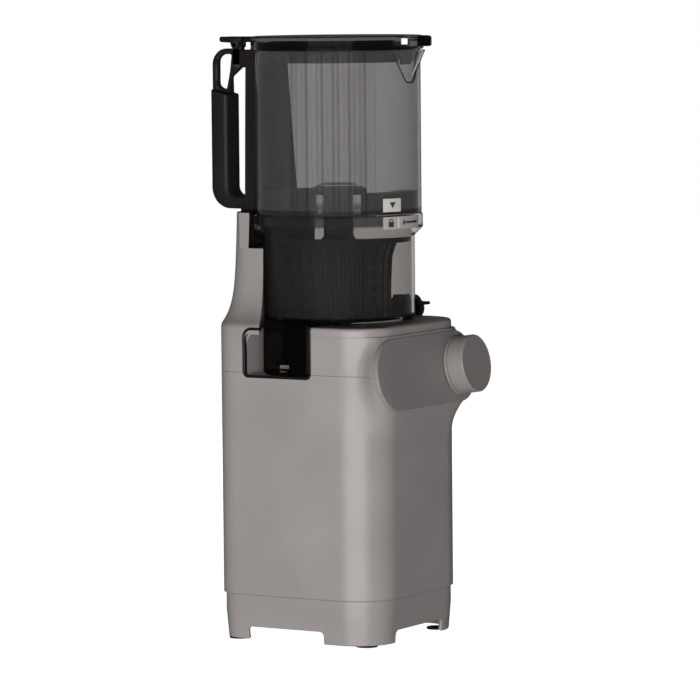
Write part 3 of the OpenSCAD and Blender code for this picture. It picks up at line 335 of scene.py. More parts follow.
def metal(name, rgb, rough=0.3, brush=0.2):
    # turned metal: fine rings of brushing that follow height, over a slightly uneven polish
    m, t, b, coord = startMaterial(name)
    rings = noise(t, addNode(t, "Mapping", {"Vector": coord, "Scale": (60, 60, 2500)}).outputs[0], 1.0)
    feed(t, b, {"Base Color": linear(rgb), "Metallic": 1.0, "Roughness": spanned(t, rings, rough - 0.08, rough + 0.12),
                "Normal": bumped(t, rings, brush, 0.00003)})
    return m


def over(t, fac, below, rgb):
    # RGBA mix: 0 is the factor, 6 and 7 are its two colours, output 2 is the result
    return addNode(t, "Mix", {0: fac, 6: below, 7: linear(rgb)}, data_type="RGBA").outputs[2]


sieve = {"slotZ": (276, 318), "slots": 72.0, "slotFrom": 0.1, "slotShare": 0.5, "slotTone": (58, 55, 53),
         "tickZ": (289.0, 300.0, 311.0), "ticks": 84.0, "tickFrom": 0.3, "tickHalf": 0.45, "tickTone": (84, 82, 80)}


def screen(name, rgb, v):
    # black resin with fine upright slots between two heights, and pale ticks in rows: a comb is where
    # sin(count * angle round the axis) lies above a level
    m = plastic(name, rgb, rough=0.34, grain=0.15, spread=0.15, specular=0.12)
    t = m.node_tree
    xyz = addNode(t, "SeparateXYZ", {0: addNode(t, "TexCoord", {}).outputs["Object"]}).outputs
    angle, z = maths(t, "ARCTAN2", xyz["Y"], xyz["X"]), xyz["Z"]

    def comb(count, level):
        return maths(t, "GREATER_THAN", maths(t, "SINE", times(t, angle, count)), level)
    low, high = (q * mm for q in v["slotZ"])
    band = times(t, maths(t, "GREATER_THAN", z, low), maths(t, "LESS_THAN", z, high))
    slots = times(t, times(t, comb(v["slots"], v["slotFrom"]), band), v["slotShare"])
    rows = 0.0
    for q in v["tickZ"]:
        rows = maths(t, "MAXIMUM", rows, maths(t, "COMPARE", z, q * mm, v["tickHalf"] * mm))
    tone = over(t, slots, t.nodes["Color Ramp"].outputs["Color"], v["slotTone"])
    tone = over(t, times(t, rows, comb(v["ticks"], v["tickFrom"])), tone, v["tickTone"])
    feed(t, t.nodes["Principled BSDF"], {"Base Color": tone})
    return m


# plastics by colour, roughness and strength of the grain
bodyGrey = plastic("bodyGrey", (143, 138, 136), 0.3, 0.3, grainMm=0.4)
panelGrey = plastic("panelGrey", (132, 127, 125), 0.36, 0.3, grainMm=0.35)
knobGrey = plastic("knobGrey", (132, 127, 125), 0.3, 0.2, grainMm=0.3)
handleBrown = plastic("handleBrown", (30, 27, 26), 0.45, 0.35, grainMm=0.45, specular=0.25)
spineBrown = plastic("spineBrown", (27, 24, 23), 0.42, 0.25, grainMm=0.4, specular=0.25)
trimBlack = plastic("trimBlack", (20, 18, 17), 0.2, 0.1, spread=0.1)
capBlack = plastic("capBlack", (22, 20, 19), 0.28, 0.15, spread=0.1)
filterBlack = plastic("filterBlack", (38, 35, 33), 0.4, 0.3, spread=0.12)
screenBlack = screen("screenBlack", (26, 24, 23), sieve)
innerBlack = plastic("innerBlack", (30, 29, 28), 0.5, 0.4, spread=0.1)
padRubber = plastic("padRubber", (26, 25, 24), 0.75, 0.6, grainMm=0.8, spread=0.15)
sealGrey = plastic("sealGrey", (110, 105, 101), 0.6, 0.3, spread=0.08)
boardGreen = plastic("boardGreen", (40, 84, 52), 0.4, 0.2, spread=0.12)
markGrey = plastic("markGrey", (168, 164, 160), 0.4, 0.1, spread=0.03)
markLight = plastic("markLight", (196, 193, 189), 0.4, 0.1, spread=0.03)
markWhite = plastic("markWhite", (238, 236, 233), 0.45, 0.1, spread=0.02)
markDark = plastic("markDark", (52, 49, 47), 0.45, 0.1, spread=0.03)
# the jar's tone below 361 mm is painted shade where its neck sits down in the drum's collar
jarSmoke = smoky("jarSmoke", (180, 178, 178), rough=0.01, edge=0.75, ribs=(-184, -122, 96, 0.42), clear=0.93,
                 foot=(361.0, 0.55))
ribSmoke = smoky("ribSmoke", (250, 249, 248), edge=0.1)
# the drum's tone below 271 mm is painted shade over its foot ring, which sits in the deck's recess
drumSmoke = smoky("drumSmoke", (184, 182, 180), rough=0.01, clear=0.98, ior=1.07, foot=(271.0, 0.3))
spoutSmoke = smoky("spoutSmoke", (60, 58, 57))
lidSmoke = smoky("lidSmoke", (92, 88, 85), rough=0.03)
steel = metal("steel", (190, 190, 190))
castMetal = metal("castMetal", (176, 178, 180), rough=0.5)
gearMetal = metal("gearMetal", (196, 168, 96), rough=0.35)
copperWire = metal("copperWire", (178, 108, 66), rough=0.45, brush=0.5)
canPaint = plastic("canPaint", (84, 87, 90), 0.45, 0.4, grainMm=0.6)

# motor body
body = {"halfW": 78.0, "halfD": 78.5, "rFront": 35.0, "rRear": 22.0, "seam": 226.0, "gap": 0.4,
        "skirtTop": 39.0, "deckUnder": 258.0, "deckTop": 265.5}
head = {"y": -85.5, "z": 226.5, "tilt": 8.5, "halfSpan": 51.0, "r": 30.0, "plate": 4.5,
        "marginLow": 17.0, "marginHigh": 14.0, "marginEnd": 1.0, "draw": 11.0, "drawAt": 14.0,
        "crease": 9.0, "reach": 70.0}
casingGrid = {"angles": ((147, 196, 0.42), (196, 338, 0.46), (338, 507, 1.25)), "from": 40.0, "to": 150.0,
              "halvings": 30, "snap": 0.32, "skin": 0.2, "bayX": -60, "bayY": 55}
far = 9.0
bay = {"front": -19.0, "back": 47.5, "low": 222.0, "top": 263.5, "rTop": 16.0, "rLow": 5.0, "wall": 2.1}


def columnField(x, y):
    # distance outside the rounded-rectangle column; negative inside
    r = np.where(y < 0, body["rFront"], body["rRear"])
    qx, qy = np.abs(x) - (body["halfW"] - r), np.abs(y) - (body["halfD"] - r)
    return np.hypot(np.maximum(qx, 0), np.maximum(qy, 0)) + np.minimum(np.maximum(qx, qy), 0) - r


def headLocal(x, y, z):
    t = math.radians(head["tilt"])
    dy, dz = y - head["y"], z - head["z"]
    return x, dy * math.sin(t) + dz * math.cos(t), -dy * math.cos(t) + dz * math.sin(t)


def bodyField(x, y, z):
    # column joined to a flaring stadium: its edge widens by margin * (0.7 q + 0.3 (1 - sqrt(1 - q^2))), where q
    # runs from 0 behind the control panel to 1 on the column, and its half span shrinks by draw behind the panel
    dc = columnField(x, y)
    lx, ly, lz = headLocal(x, y, z)
    depth = np.maximum(-lz - head["plate"] + 1.0, 0)
    q = depth / (depth + np.maximum(dc, 0) + 1e-6)
    half = head["halfSpan"] - head["draw"] * (1 - np.exp(-(depth / head["drawAt"]) ** 2))
    ox = np.maximum(np.abs(lx) - half, 0)
    d = np.hypot(ox, ly)
    up = ly / np.maximum(d, 1e-6)
    margin = head["marginEnd"] + np.where(up > 0, head["marginHigh"] * up ** 4, head["marginLow"] * np.abs(up) ** 1.5)
    side = d - head["r"] - margin * (0.7 * q + 0.3 * (1 - np.sqrt(np.maximum(1 - q * q, 0))))
    flare = np.maximum(np.maximum(side, lz + head["plate"] - 1.0), -lz - head["reach"])
    h = np.maximum(head["crease"] - np.abs(dc - flare), 0) / head["crease"]
    return np.minimum(dc, flare) - h * h * head["crease"] / 4


def bayField(p):
    # distance outside the pulp outlet's opening on the side wall
    y, z = p[..., 1], p[..., 2]
    front, back, low = bay["front"] - y, y - bay["back"], bay["low"] - z
    top = np.where(y > bay["back"] - bay["rTop"], cornerField(back, z - bay["top"], bay["rTop"]), -99.0)
    return np.maximum(np.maximum(cornerField(front, low, bay["rLow"]), cornerField(back, low, bay["rLow"])), top)


def casing(name, rows):
    # r(angle, z) solved by halving from the axis outwards, then moved in by the row's inset
    v = casingGrid
    a = np.radians(np.concatenate([np.arange(*q) for q in v["angles"]]))[:, None]
    z, inset = np.array(rows, float).T
    zz = np.broadcast_to(z, (len(a), len(z)))
    lo, hi = np.full(zz.shape, v["from"]), np.full(zz.shape, v["to"])
    for _ in range(v["halvings"]):
        mid = (lo + hi) / 2
        inside = bodyField(mid * np.cos(a), mid * np.sin(a), zz) < 0
        lo, hi = np.where(inside, mid, lo), np.where(inside, hi, mid)
    g = polar((lo + hi) / 2 - inset, a, zz)
    snapToZero(g, bayField, (1, 2), v["snap"], g[..., 0] < v["skin"] - body["halfW"] + inset)
    bySide = (np.abs(g[..., 1]) < v["bayY"]) & (g[..., 0] < v["bayX"])
    return gridMesh(name, g, loopU=True, keep=cellsOutside(np.where(bySide, bayField(g), far)))


def edgeRows(z0, z1, step, e=0.2, lip=2.5):
    inner = np.arange(z0 + e, z1 - e, step)
    rows = [(z0, lip), (z0, e), (z0 + 0.3 * e, 0.3 * e)] + [(z, 0.0) for z in inner]
    return rows + [(z1 - e, 0.0), (z1 - 0.3 * e, 0.3 * e), (z1, e), (z1, lip)]


print("casings")
lowRows = edgeRows(body["skirtTop"] + body["gap"], body["seam"] - body["gap"] / 4, 0.62)
coarse = [r for k, r in enumerate(lowRows) if not (45 < r[0] < 158) or k % 12 == 0]
dress(casing("lowerCasing", coarse), "base", "body", bodyGrey, "lower_casing")
upRows = edgeRows(body["seam"] + body["gap"] / 4, body["deckUnder"] - 0.04, 0.55, e=0.1)
dress(casing("upperCasing", upRows), "base", "body", bodyGrey, "upper_casing", "head_shell")


def headPoint(lx, ly, lz):
    t = math.radians(head["tilt"])
    lx, ly, lz = np.broadcast_arrays(lx, ly, lz)
    return np.stack([lx, head["y"] + ly * math.sin(t) - lz * math.cos(t),
                     head["z"] + ly * math.cos(t) + lz * math.sin(t)], -1)


def controlPanel():
    # stadium of half span s and radius r, its edge profile (inset, height) carried round it
    t = np.radians(np.linspace(-90, 90, 41))
    right = np.c_[np.cos(t), np.sin(t)]
    loopN = np.vstack([right, -right])
    centre = np.repeat([[head["halfSpan"], 0], [-head["halfSpan"], 0]], len(t), 0)
    prof = roundPath([(0.4, -head["plate"] - 1), (-0.25, -head["plate"] - 1), (-0.25, 0), (12, 0), (29.9, 0)],
                     [0, 0.2, 0.9, 0, 0], 5)
    ring = centre[:, None] + loopN[:, None] * (head["r"] - prof[:, 0])[None, :, None]
    g = headPoint(ring[..., 0], ring[..., 1], np.broadcast_to(prof[:, 1], ring.shape[:2]))
    return gridMesh("controlPanel", g, loopU=True, capEnd=True)


dress(controlPanel(), "base", "panel", panelGrey, "control_panel")

knob = {"r": 24.3, "skirtR": 25.0, "skirt": 3.0, "length": 18.8, "gap": 0.8, "groove": 0.9, "edge": 1.6, "dish": 0.25}


def makeKnob(v):
    # turned profile (r, height): skirt, dark parting groove, straight wall, rounded rim, faintly dished face
    r, inner, step, face = v["r"], v["r"] - v["groove"], v["skirt"] + 0.8, v["length"] - v["dish"]
    pts = [(20, v["gap"]), (v["skirtR"], v["gap"]), (v["skirtR"], v["skirt"]), (inner, v["skirt"]), (inner, step),
           (r, step), (r, v["length"]), (r - 3, face), (0.0, face)]
    prof = roundPath(pts, [0, 0.4, 0.6, 0.1, 0.1, 0.3, v["edge"], 2.0, 0], 7)
    t = np.linspace(0, 2 * np.pi, 144, endpoint=False)
    g = headPoint(head["halfSpan"] + np.cos(t)[:, None] * prof[:, 0], np.sin(t)[:, None] * prof[:, 0],
                  np.broadcast_to(prof[:, 1], (144, len(prof))))
    return gridMesh("knobCap", g, loopU=True)


dress(makeKnob(knob), "knob", "knob", knobGrey, "knob")

# base skirt
skirt = {"topInset": 2.0, "lowInset": 4.0, "low": 1.5, "notch": 12.0, "rNotch": 4.0,
         "side": (-27.0, 47.0), "end": (-38.5, 38.5), "wall": 3.0, "snap": 0.5, "faceDepth": 7}


def notchField(t, z, lo, hi):
    return cornerField(np.maximum(lo - t, t - hi), z - skirt["notch"], skirt["rNotch"])


def baseSkirt():
    # the plan outline drawn in from top to foot, with a rounded notch left out of each side
    def line(a, b, step=0.9):
        return np.linspace(a, b, int(abs(b - a) / step) + 2)[1:-1]
    w, d, rf, rr = body["halfW"], body["halfD"], body["rFront"], body["rRear"]
    z = np.concatenate([np.arange(skirt["low"], 14.5, 0.65), np.linspace(15.5, body["skirtTop"] - 0.6, 10),
                        [body["skirtTop"] - 0.2, body["skirtTop"]]])
    rim = np.zeros(len(z))
    rim[0], rim[-2], rim[-1] = 0.4, 0.15, 0.5
    share = (z - skirt["low"]) / (body["skirtTop"] - skirt["low"])
    inset = skirt["lowInset"] + (skirt["topInset"] - skirt["lowInset"]) * np.minimum(1, share * 1.6) + rim
    left, bottom = line(d - rr, rf - d), line(rf - w, w - rf)
    rear, right = line(w - rr, rr - w), line(rf - d, d - rr)
    rows = [atHeight(np.vstack([
        quarter(w - rr, d - rr, rr - i, 0, 30), np.c_[rear, np.full(len(rear), d - i)],
        quarter(rr - w, d - rr, rr - i, 90, 30), atX(i - w, left),
        quarter(rf - w, rf - d, rf - i, 180, 30), np.c_[bottom, np.full(len(bottom), i - d)],
        quarter(w - rf, rf - d, rf - i, 270, 30), atX(w - i, right)]), up) for i, up in zip(inset, z)]
    g = np.stack(rows, 1)
    onSide, onEnd = np.abs(g[..., 0]) > w - skirt["faceDepth"], np.abs(g[..., 1]) > d - skirt["faceDepth"]

    def notch(p):
        bySide = np.where(onSide, notchField(p[..., 1], p[..., 2], *skirt["side"]), far)
        return np.minimum(bySide, np.where(onEnd, notchField(p[..., 0], p[..., 2], *skirt["end"]), far))
    snapToZero(g, notch, (0, 1, 2), skirt["snap"])
    return thicken(gridMesh("baseSkirt", g, loopU=True, keep=cellsOutside(notch(g))), skirt["wall"], -1)


print("skirt")
dress(baseSkirt(), "base", "body", bodyGrey, "base_skirt")

# deck and tower
tower = {"top": 357.5, "saddle": 328.0, "halfTop": 51.6, "draft": 0.06, "flare": 20.9, "flareH": 13.5, "rear": 78.5,
         "corner": 22.5, "bore": 67.0, "backBore": 84.1, "backY": 75.3,
         "kneeW": 52.0, "kneeY": 42.3, "kneeSlope": 0.435}


deck = {"round": 2.6, "recess": 50.6, "recessDepth": 4, "hole": 20, "bayX": -70}


def planLoop(inset, sideY, nArc=14, nFlat=8):
    # the body's outline, counter-clockwise from the rear right corner; corners keep their centres
    w, d, rf, rr = body["halfW"], body["halfD"], body["rFront"], body["rRear"]
    return np.vstack([quarter(w - rr, d - rr, rr - inset, 0, nArc), quarter(rr - w, d - rr, rr - inset, 90, nArc),
                      atX(inset - w, sideY), quarter(rf - w, rf - d, rf - inset, 180, nArc),
                      quarter(w - rf, rf - d, rf - inset, 270, nArc),
                      atX(w - inset, np.linspace(rf - d, d - rr, nFlat + 2)[1:-1])])


def deckPlate(v):
    # outline inset by the edge profile, the last rows shrinking to the drum's round recess; the outlet's gap stays open
    gapFront, gapBack = bay["front"], bay["back"] - bay["rTop"]
    sideY = np.concatenate([np.linspace(body["halfD"] - body["rRear"], gapBack, 8)[1:],
                            np.linspace(gapBack, gapFront, 14)[1:],
                            np.linspace(gapFront, body["rFront"] - body["halfD"], 7)[1:-1]])
    low, top, r0, floor = body["deckUnder"], body["deckTop"], v["recess"], body["deckTop"] - v["recessDepth"]
    prof = roundPath([(3, low), (0, low), (0, top), (16, top)], [0, 0.15, v["round"], 0], 6)
    loops = [atHeight(planLoop(i, sideY), z) for i, z in prof]
    a = np.arctan2(loops[-1][:, 1], loops[-1][:, 0])
    for r, z in ((r0 + 2.4, top), (r0 + 0.4, top), (r0, top - 0.5), (r0, floor), (v["hole"], floor)):
        loops.append(atHeight(np.c_[r * np.cos(a), r * np.sin(a)], z))
    g = np.stack(loops, 1)
    x, y0, y1 = g[:, 0, 0], g[:, 0, 1], np.roll(g[:, 0, 1], -1)
    gone = (x < v["bayX"]) & (np.maximum(y0, y1) < gapBack + 0.1) & (np.minimum(y0, y1) > gapFront - 0.1)
    return gridMesh("deckPlate", g, loopU=True, keep=np.broadcast_to(~gone[:, None], g.shape[:2]))


def makeTower(v):
    # half width w(z) = top + draft (top z - z) + flare exp(-h / flare height); the inner side follows the drum,
    # then the spine
    def loop(z, upper):
        h = z - body["deckTop"]
        w = min(v["halfTop"] + v["draft"] * (v["top"] - z) + v["flare"] * math.exp(-h / v["flareH"]), body["halfW"])
        r = v["corner"]
        if upper:
            yf = math.sqrt(v["backBore"] ** 2 - w * w)
        elif w > v["kneeW"]:
            yf = v["kneeY"] - (w - v["kneeW"]) * v["kneeSlope"]
        else:
            yf = math.sqrt(v["bore"] ** 2 - w * w)
        side = np.linspace(yf, v["rear"] - r, 10)
        half = np.vstack([atX(w, side), quarter(w - r, v["rear"] - r, r, 0, 16)[1:]])
        outer = np.vstack([half, (half * [-1, 1])[::-1]])
        if upper:
            xe = math.sqrt(v["backBore"] ** 2 - v["backY"] ** 2)
            a0, a1 = math.atan2(yf, w), math.atan2(v["backY"], xe)
            arc = v["backBore"] * np.c_[np.cos(np.linspace(a0, a1, 24)), np.sin(np.linspace(a0, a1, 24))]
            mid = np.linspace(xe, 0, 17)[1:]
            inner = np.vstack([arc, np.c_[mid, np.full(16, v["backY"])]])
        else:
            qx = min(w, v["kneeW"])
            q = np.array([qx, math.sqrt(v["bore"] ** 2 - qx * qx)])
            a = np.linspace(math.atan2(q[1], q[0]), math.pi / 2, 35)
            arc = v["bore"] * np.c_[np.cos(a), np.sin(a)]
            lead = np.array([w, yf]) + np.linspace(0, 1, 6)[:-1, None] * (q - np.array([w, yf]))
            inner = np.vstack([lead, arc])
        full = np.vstack([inner, (inner * [-1, 1])[::-1]])
        return atHeight(np.vstack([outer, full[::-1]]), z)
    low = np.concatenate([np.linspace(body["deckTop"] - 1, 300, 26), np.linspace(303, v["saddle"], 8)])
    rows = [loop(z, False) for z in low] + [loop(z, True) for z in np.linspace(v["saddle"], v["top"], 8)]
    return bevelEdges(barMesh("tower", rows), 0.8, 3)


print("deck")
dress(deckPlate(deck), "base", "body", bodyGrey, "deck")
dress(makeTower(tower), "base", "body", bodyGrey, "deck")


def bayTrim():
    # a square section with rounded outer edges, carried down one side of the opening, along it and up the other
    front, back, low, top = (bay[k] for k in ("front", "back", "low", "top"))
    path = roundPath([(front, body["deckTop"]), (front, low), (back, low), (back, top), (back - bay["rTop"] - 1, top)],
                     [0, bay["rLow"], bay["rLow"], bay["rTop"], 0], 10)
    d = np.gradient(path, axis=0)
    d /= np.linalg.norm(d, axis=1)[:, None]
    inward = atX(0.0, np.c_[-d[:, 1], d[:, 0]])
    sec = roundRect(bay["wall"] / 2 + 0.15, 2.0, [0.7, 0.7, 0.1, 0.1], 4) + [bay["wall"] / 2 - 0.15, 0]
    return sweep("bayTrim", atX(1.4 - body["halfW"], path), inward, np.tile([-1.0, 0, 0], (len(path), 1)), sec)


dress(bayTrim(), "base", "dark", trimBlack, "outlet_trim")

# drum, duct and spout
drum = {"r": 64.0, "wall": 2.5, "low": 267.0, "floor": 270.5, "collarR": 71.0, "collarLow": 344.3, "collarTop": 355.8,
        "cone": 7.0, "neck": 66.4, "ringR": 50.0, "ringLow": 262.0}


def makeDrum(v):
    r, inner, collar, seat = v["r"], v["r"] - v["wall"], v["collarR"], v["collarLow"] + 2.5
    pts = [(40, v["ringLow"]), (v["ringR"], v["ringLow"]), (v["ringR"], v["low"]), (r, v["low"]),
           (r, v["collarLow"] - v["cone"]), (collar, v["collarLow"]), (collar, v["collarTop"]),
           (v["neck"], v["collarTop"]), (v["neck"], seat), (inner, seat), (inner, v["floor"]), (0.0, v["floor"])]
    prof = roundPath(pts, [0, 1, 1, 3.0, 2.5, 1.6, 1.2, 0.6, 0.5, 0.5, 2.0, 0], 6)
    return revolve("drumShell", prof, 144)


print("drum")
dress(makeDrum(drum), "drum", "smoke_drum", drumSmoke, "drum", "drum_base")
basket = {"low": 270.9, "lowR": 42.0, "waistZ": 300.0, "waistR": 42.6, "bendZ": 320.0, "bendR": 43.8, "topR": 49.6,
          "top": 336.6, "flangeLow": 332.6, "flangeR": 61.2, "wall": 1.5, "bars": 24, "barOut": 1.4}


def makeBasket(v):
    # r(angle, z) = profile(z) + bar height where |angle| lies within half a bar of a multiple of the pitch
    z = np.concatenate([[v["low"]], np.linspace(v["low"] + 0.5, v["flangeLow"] - 0.3, 34)])
    out = np.interp(z, [v["low"], v["waistZ"], v["bendZ"], v["top"]], [v["lowR"], v["waistR"], v["bendR"], v["topR"]])
    pitch = 2 * np.pi / v["bars"]
    side = np.array([-0.5, -0.052, -0.035, 0.035, 0.052]) * pitch
    rise = np.array([0, 0, 1, 1, 0]) * v["barOut"]
    a = (np.arange(v["bars"])[:, None] * pitch + side).ravel()
    lift = np.tile(rise, v["bars"])
    r = out[None] + lift[:, None]
    one = np.ones((len(a), 1))
    low, top, rim = v["flangeLow"], v["top"], v["flangeR"]
    flange = [(v["topR"] - 1, low), (rim - 0.4, low), (rim, low + 0.4), (rim, top - 0.4), (rim - 0.4, top),
              (v["topR"] - v["wall"], top)]
    inner = out[::-1] - v["wall"]
    hole, floor = one * (v["lowR"] - 22), v["low"] + v["wall"]
    r = np.concatenate([hole, r, one * [q[0] for q in flange], one * inner, hole], 1)
    zz = np.concatenate([[v["low"]], z, [q[1] for q in flange], z[::-1][:-1], [floor, floor]])
    return gridMesh("strainerBasket", polar(r, a[:, None], zz), loopU=True, loopV=True, smoothAngle=30)


dress(makeBasket(basket), "drum", "filter", screenBlack, "strainer")
duct = {"x": (-77.2, -34.6), "y": (-16.4, 28.0), "z": (224.6, 268.6), "port": (3.0, 25.5),
        "portZ": (227.1, 263.5), "r": 4.0}


def makeDuct(v):
    # a rounded upright box with its outer face turned back into the outlet
    def middle(span):
        return (span[0] + span[1]) / 2, (span[1] - span[0]) / 2
    (cy, hy), (cz, hz), (py, qy), (pz, qz) = (middle(v[k]) for k in ("y", "z", "port", "portZ"))
    inner, outer = v["x"][1], v["x"][0]
    sections = [(inner, hy, hz, v["r"], cy, cz), (outer + 1.2, hy, hz, v["r"], cy, cz),
                (outer + 0.35, hy - 0.35, hz - 0.35, v["r"], cy, cz), (outer, hy - 1.2, hz - 1.2, v["r"] - 1, cy, cz),
                (outer, qy + 0.6, qz + 0.6, 3.0, py, pz), (outer + 0.6, qy, qz, 2.6, py, pz),
                (outer + 28, qy, qz, 2.6, py, pz)]
    rows = [atX(x, roundRect(a, b, r, 6) + [y, z]) for x, a, b, r, y, z in sections]
    return barMesh("pulpDuct", np.stack(rows)[:, ::-1])


dress(makeDuct(duct), "drum", "smoke_drum", spoutSmoke, "pulp_duct")


def curvedPatch(name, outlines, radius, angle, z, thick=0.25):
    # flat outlines (across, up) in mm wrapped on the upright cylinder of that radius, and thickened outwards
    verts, faces, base = [], [], 0
    for outline in outlines:
        p = np.asarray(outline, float)
        a = math.radians(angle) + p[:, 0] / radius
        n = len(p)
        verts += [np.c_[q * np.cos(a), q * np.sin(a), z + p[:, 1]] for q in (radius, radius + thick)]
        k = np.arange(n)
        nxt = (k + 1) % n
        faces += (base + np.stack([k, nxt, n + nxt, n + k], -1)).tolist()
        faces += [(base + k[::-1]).tolist(), (base + n + k).tolist()]
        base += 2 * n
    return addMesh(name, np.vstack(verts) * mm, faces, 30)


lock = {"angle": -111.3, "z": 350.2, "body": (2.7, 2.2), "shackle": 1.9, "band": 0.8}
arrow = {"angle": -91.4, "z": 350.2, "length": 20.0, "shaft": 0.85, "head": 2.4, "dashes": 8}
rule = {"angle": -104.6, "z": 350.2, "half": (0.28, 4.3)}
pointer = {"angle": -109.2, "z": 365.0, "half": 3.3, "height": 5.0}
plateFace = 71.5


def ring(radius, band, a0, a1, n=12):
    t = np.radians(np.linspace(a0, a1, n))
    e = np.c_[np.cos(t), np.sin(t)]
    return np.vstack([e * radius, (e * (radius - band))[::-1]])


def plateMarks():
    # padlock, rule and arrow of the drum's plate, and the triangle of the hopper's
    w, h = lock["body"]
    low = -1.2
    dash = arrow["length"] / arrow["dashes"]
    head = np.array([[-2.0, 0], [1.4, -arrow["head"]], [1.4, arrow["head"]]]) - [arrow["length"] / 2, 0]
    dashes = [roundRect(0.46 * dash, arrow["shaft"], 0.1, 2) + [dash * (k + 0.5) - arrow["length"] / 2, 0]
              for k in range(1, arrow["dashes"])]
    pieces = [("lockBody", [roundRect(w, h, 0.3, 2) + [0, low]], lock, markDark),
              ("lockShackle", [ring(lock["shackle"] + 0.4, lock["band"], 0, 180) + [0, low + h + 0.1]], lock, markDark),
              ("plateRule", [roundRect(*rule["half"], 0.1, 2)], rule, markWhite),
              ("plateArrow", [head] + dashes, arrow, markDark)]
    for name, outlines, at, material in pieces:
        dress(curvedPatch(name, outlines, plateFace - 0.05, at["angle"], at["z"]), "drum", "mark", material)
    tri = np.array([[-pointer["half"], 0], [0, -pointer["height"]], [pointer["half"], 0]]) + [0, pointer["height"] / 2]
    dress(curvedPatch("pointerMark", [tri], hopper["r"] + 0.45, pointer["angle"], pointer["z"]), "hopper",
          "mark", markDark)


# hopper
hopper = {"r": 70.0, "wall": 2.5, "low": 356.0, "top": 493.0, "neckR": 66.1, "neckLow": 347.5, "mouth": 32.0,
          "floor": 359.0, "lipY": -58.0, "lipR": 24.0, "lipLow": 466.0, "lipLowR": 12.7, "join": 4.0,
          "beadR": 0.6, "beadOut": 0.5}


def lobed(angle, base, lobeR, lobeY, join, where):
    # farther of the main circle and the lobe's circle along each direction from the axis, gently joined
    along, off = lobeY * np.sin(angle), lobeY * np.cos(angle)
    root = np.sqrt(np.maximum(lobeR * lobeR - off * off, 0))
    reach = np.where((np.abs(off) < lobeR) & (along > 0) & where, along + root, 0)
    h = np.maximum(join - np.abs(base - reach), 0) / join
    return np.maximum(base, reach) + np.where(reach > 0, h * h * join / 4, 0)


def lipRadius(angle, z, wall):
    # the lip's circle widens with height
    v = hopper
    share = np.clip((z - v["lipLow"]) / (v["top"] - v["lipLow"]), 0, 1.2)
    lipR = v["lipLowR"] + (v["lipR"] - v["lipLowR"]) * share - wall * (z > v["lipLow"])
    return lobed(angle, v["r"] - wall, lipR, v["lipY"], v["join"], z > v["lipLow"] - 0.01)


def hopperJar():
    v = hopper
    deg = np.concatenate([np.arange(235, 305, 0.7), np.arange(305, 595, 2.0)])
    a = np.radians(deg)[:, None]
    outer = np.concatenate([[v["low"], v["low"] + 0.3], np.linspace(v["low"] + 1, v["lipLow"] - 3, 20),
                            np.linspace(v["lipLow"] - 1, v["top"] - 0.6, 30)])
    inner = outer[:1:-1]
    inset = np.zeros(len(outer))
    inset[:2] = (1.0, 0.3)
    ro = lipRadius(a, outer[None], 0.0) - inset
    rim = [lipRadius(a, np.array([[v["top"]]]), w) for w in (0.4, v["wall"] - 0.4)]
    r = np.concatenate([ro, *rim, lipRadius(a, inner[None], v["wall"])], 1)
    z = np.concatenate([outer, [v["top"], v["top"]], inner])
    neckIn, low = v["neckR"] - v["wall"], v["low"]
    neck = [(v["mouth"] + 1, v["floor"]), (v["mouth"], v["floor"] - 1), (v["mouth"], low), (neckIn, low),
            (neckIn, v["neckLow"]), (v["neckR"], v["neckLow"]), (v["neckR"], low)]
    low = [(v["r"] - v["wall"] - 2, v["floor"])] + neck
    r = np.concatenate([r, np.ones((len(deg), 1)) * [p[0] for p in low], ro[:, :1]], 1)
    z = np.concatenate([z, [p[1] for p in low], [v["low"]]])
    return gridMesh("hopperJar", polar(r, a, z), loopU=True)


def lipBead():
    # thin bead along the line where the lip's cone meets the jar: y = (rl^2 - r^2 - lipY^2) / (-2 lipY), x from
    # the jar's circle
    v = hopper
    z = np.linspace(v["top"] - 3, v["lipLow"], 24)
    rl = v["lipLowR"] + (v["lipR"] - v["lipLowR"]) * (z - v["lipLow"]) / (v["top"] - v["lipLow"])
    y = (rl ** 2 - v["r"] ** 2 - v["lipY"] ** 2) / (-2 * v["lipY"])
    x = np.sqrt(v["r"] ** 2 - y ** 2)
    side = np.degrees(np.arctan2(y, x))
    turn = np.radians(np.concatenate([180 - side, side[::-1]]))
    up = np.concatenate([z, z[::-1]])
    out = np.c_[np.cos(turn), np.sin(turn), np.zeros(len(turn))]
    p3 = out * (v["r"] + v["beadOut"]) + np.c_[np.zeros((len(turn), 2)), up]
    along = np.gradient(p3, axis=0)
    along /= np.linalg.norm(along, axis=1)[:, None]
    t = np.linspace(0, 2 * np.pi, 10, endpoint=False)
    return sweep("lipBead", p3, out, np.cross(along, out), np.c_[np.cos(t), np.sin(t)] * v["beadR"])


print("hopper")
dress(hopperJar(), "hopper", "smoke_clear", jarSmoke, "hopper")
dress(lipBead(), "hopper", "smoke_clear", lidSmoke)
plateMarks()
ribs = {"angles": (-161.0, -129.0), "z": (382.0, 480.0), "count": 13, "depth": 0.9, "r": 67.1, "step": 0.25,
        "wall": 0.2}


def ribPanel():
    # inner wall wave: r = R - depth * |sin| of the angle, fading to nothing at the panel's edges
    v = ribs
    a = np.radians(np.linspace(v["angles"][0], v["angles"][1], 160))[:, None]
    low, high = v["z"]
    z = np.concatenate([np.linspace(low, low + 3, 5), np.linspace(low + 6, high - 6, 12),
                        np.linspace(high - 3, high, 5)])
    u = (np.degrees(a) - v["angles"][0]) / (v["angles"][1] - v["angles"][0])
    ends = np.clip((z - low) / 3, 0, 1) * np.clip((high - z) / 3, 0, 1)
    wave = np.abs(np.sin(np.pi * v["count"] * u)) ** 0.7 * np.clip(u * 20, 0, 1) * np.clip((1 - u) * 20, 0, 1)
    r = v["r"] - v["step"] * ends - v["depth"] * wave * ends
    return thicken(gridMesh("ribPanel", polar(r, a, z)[::-1]), v["wall"], 1)


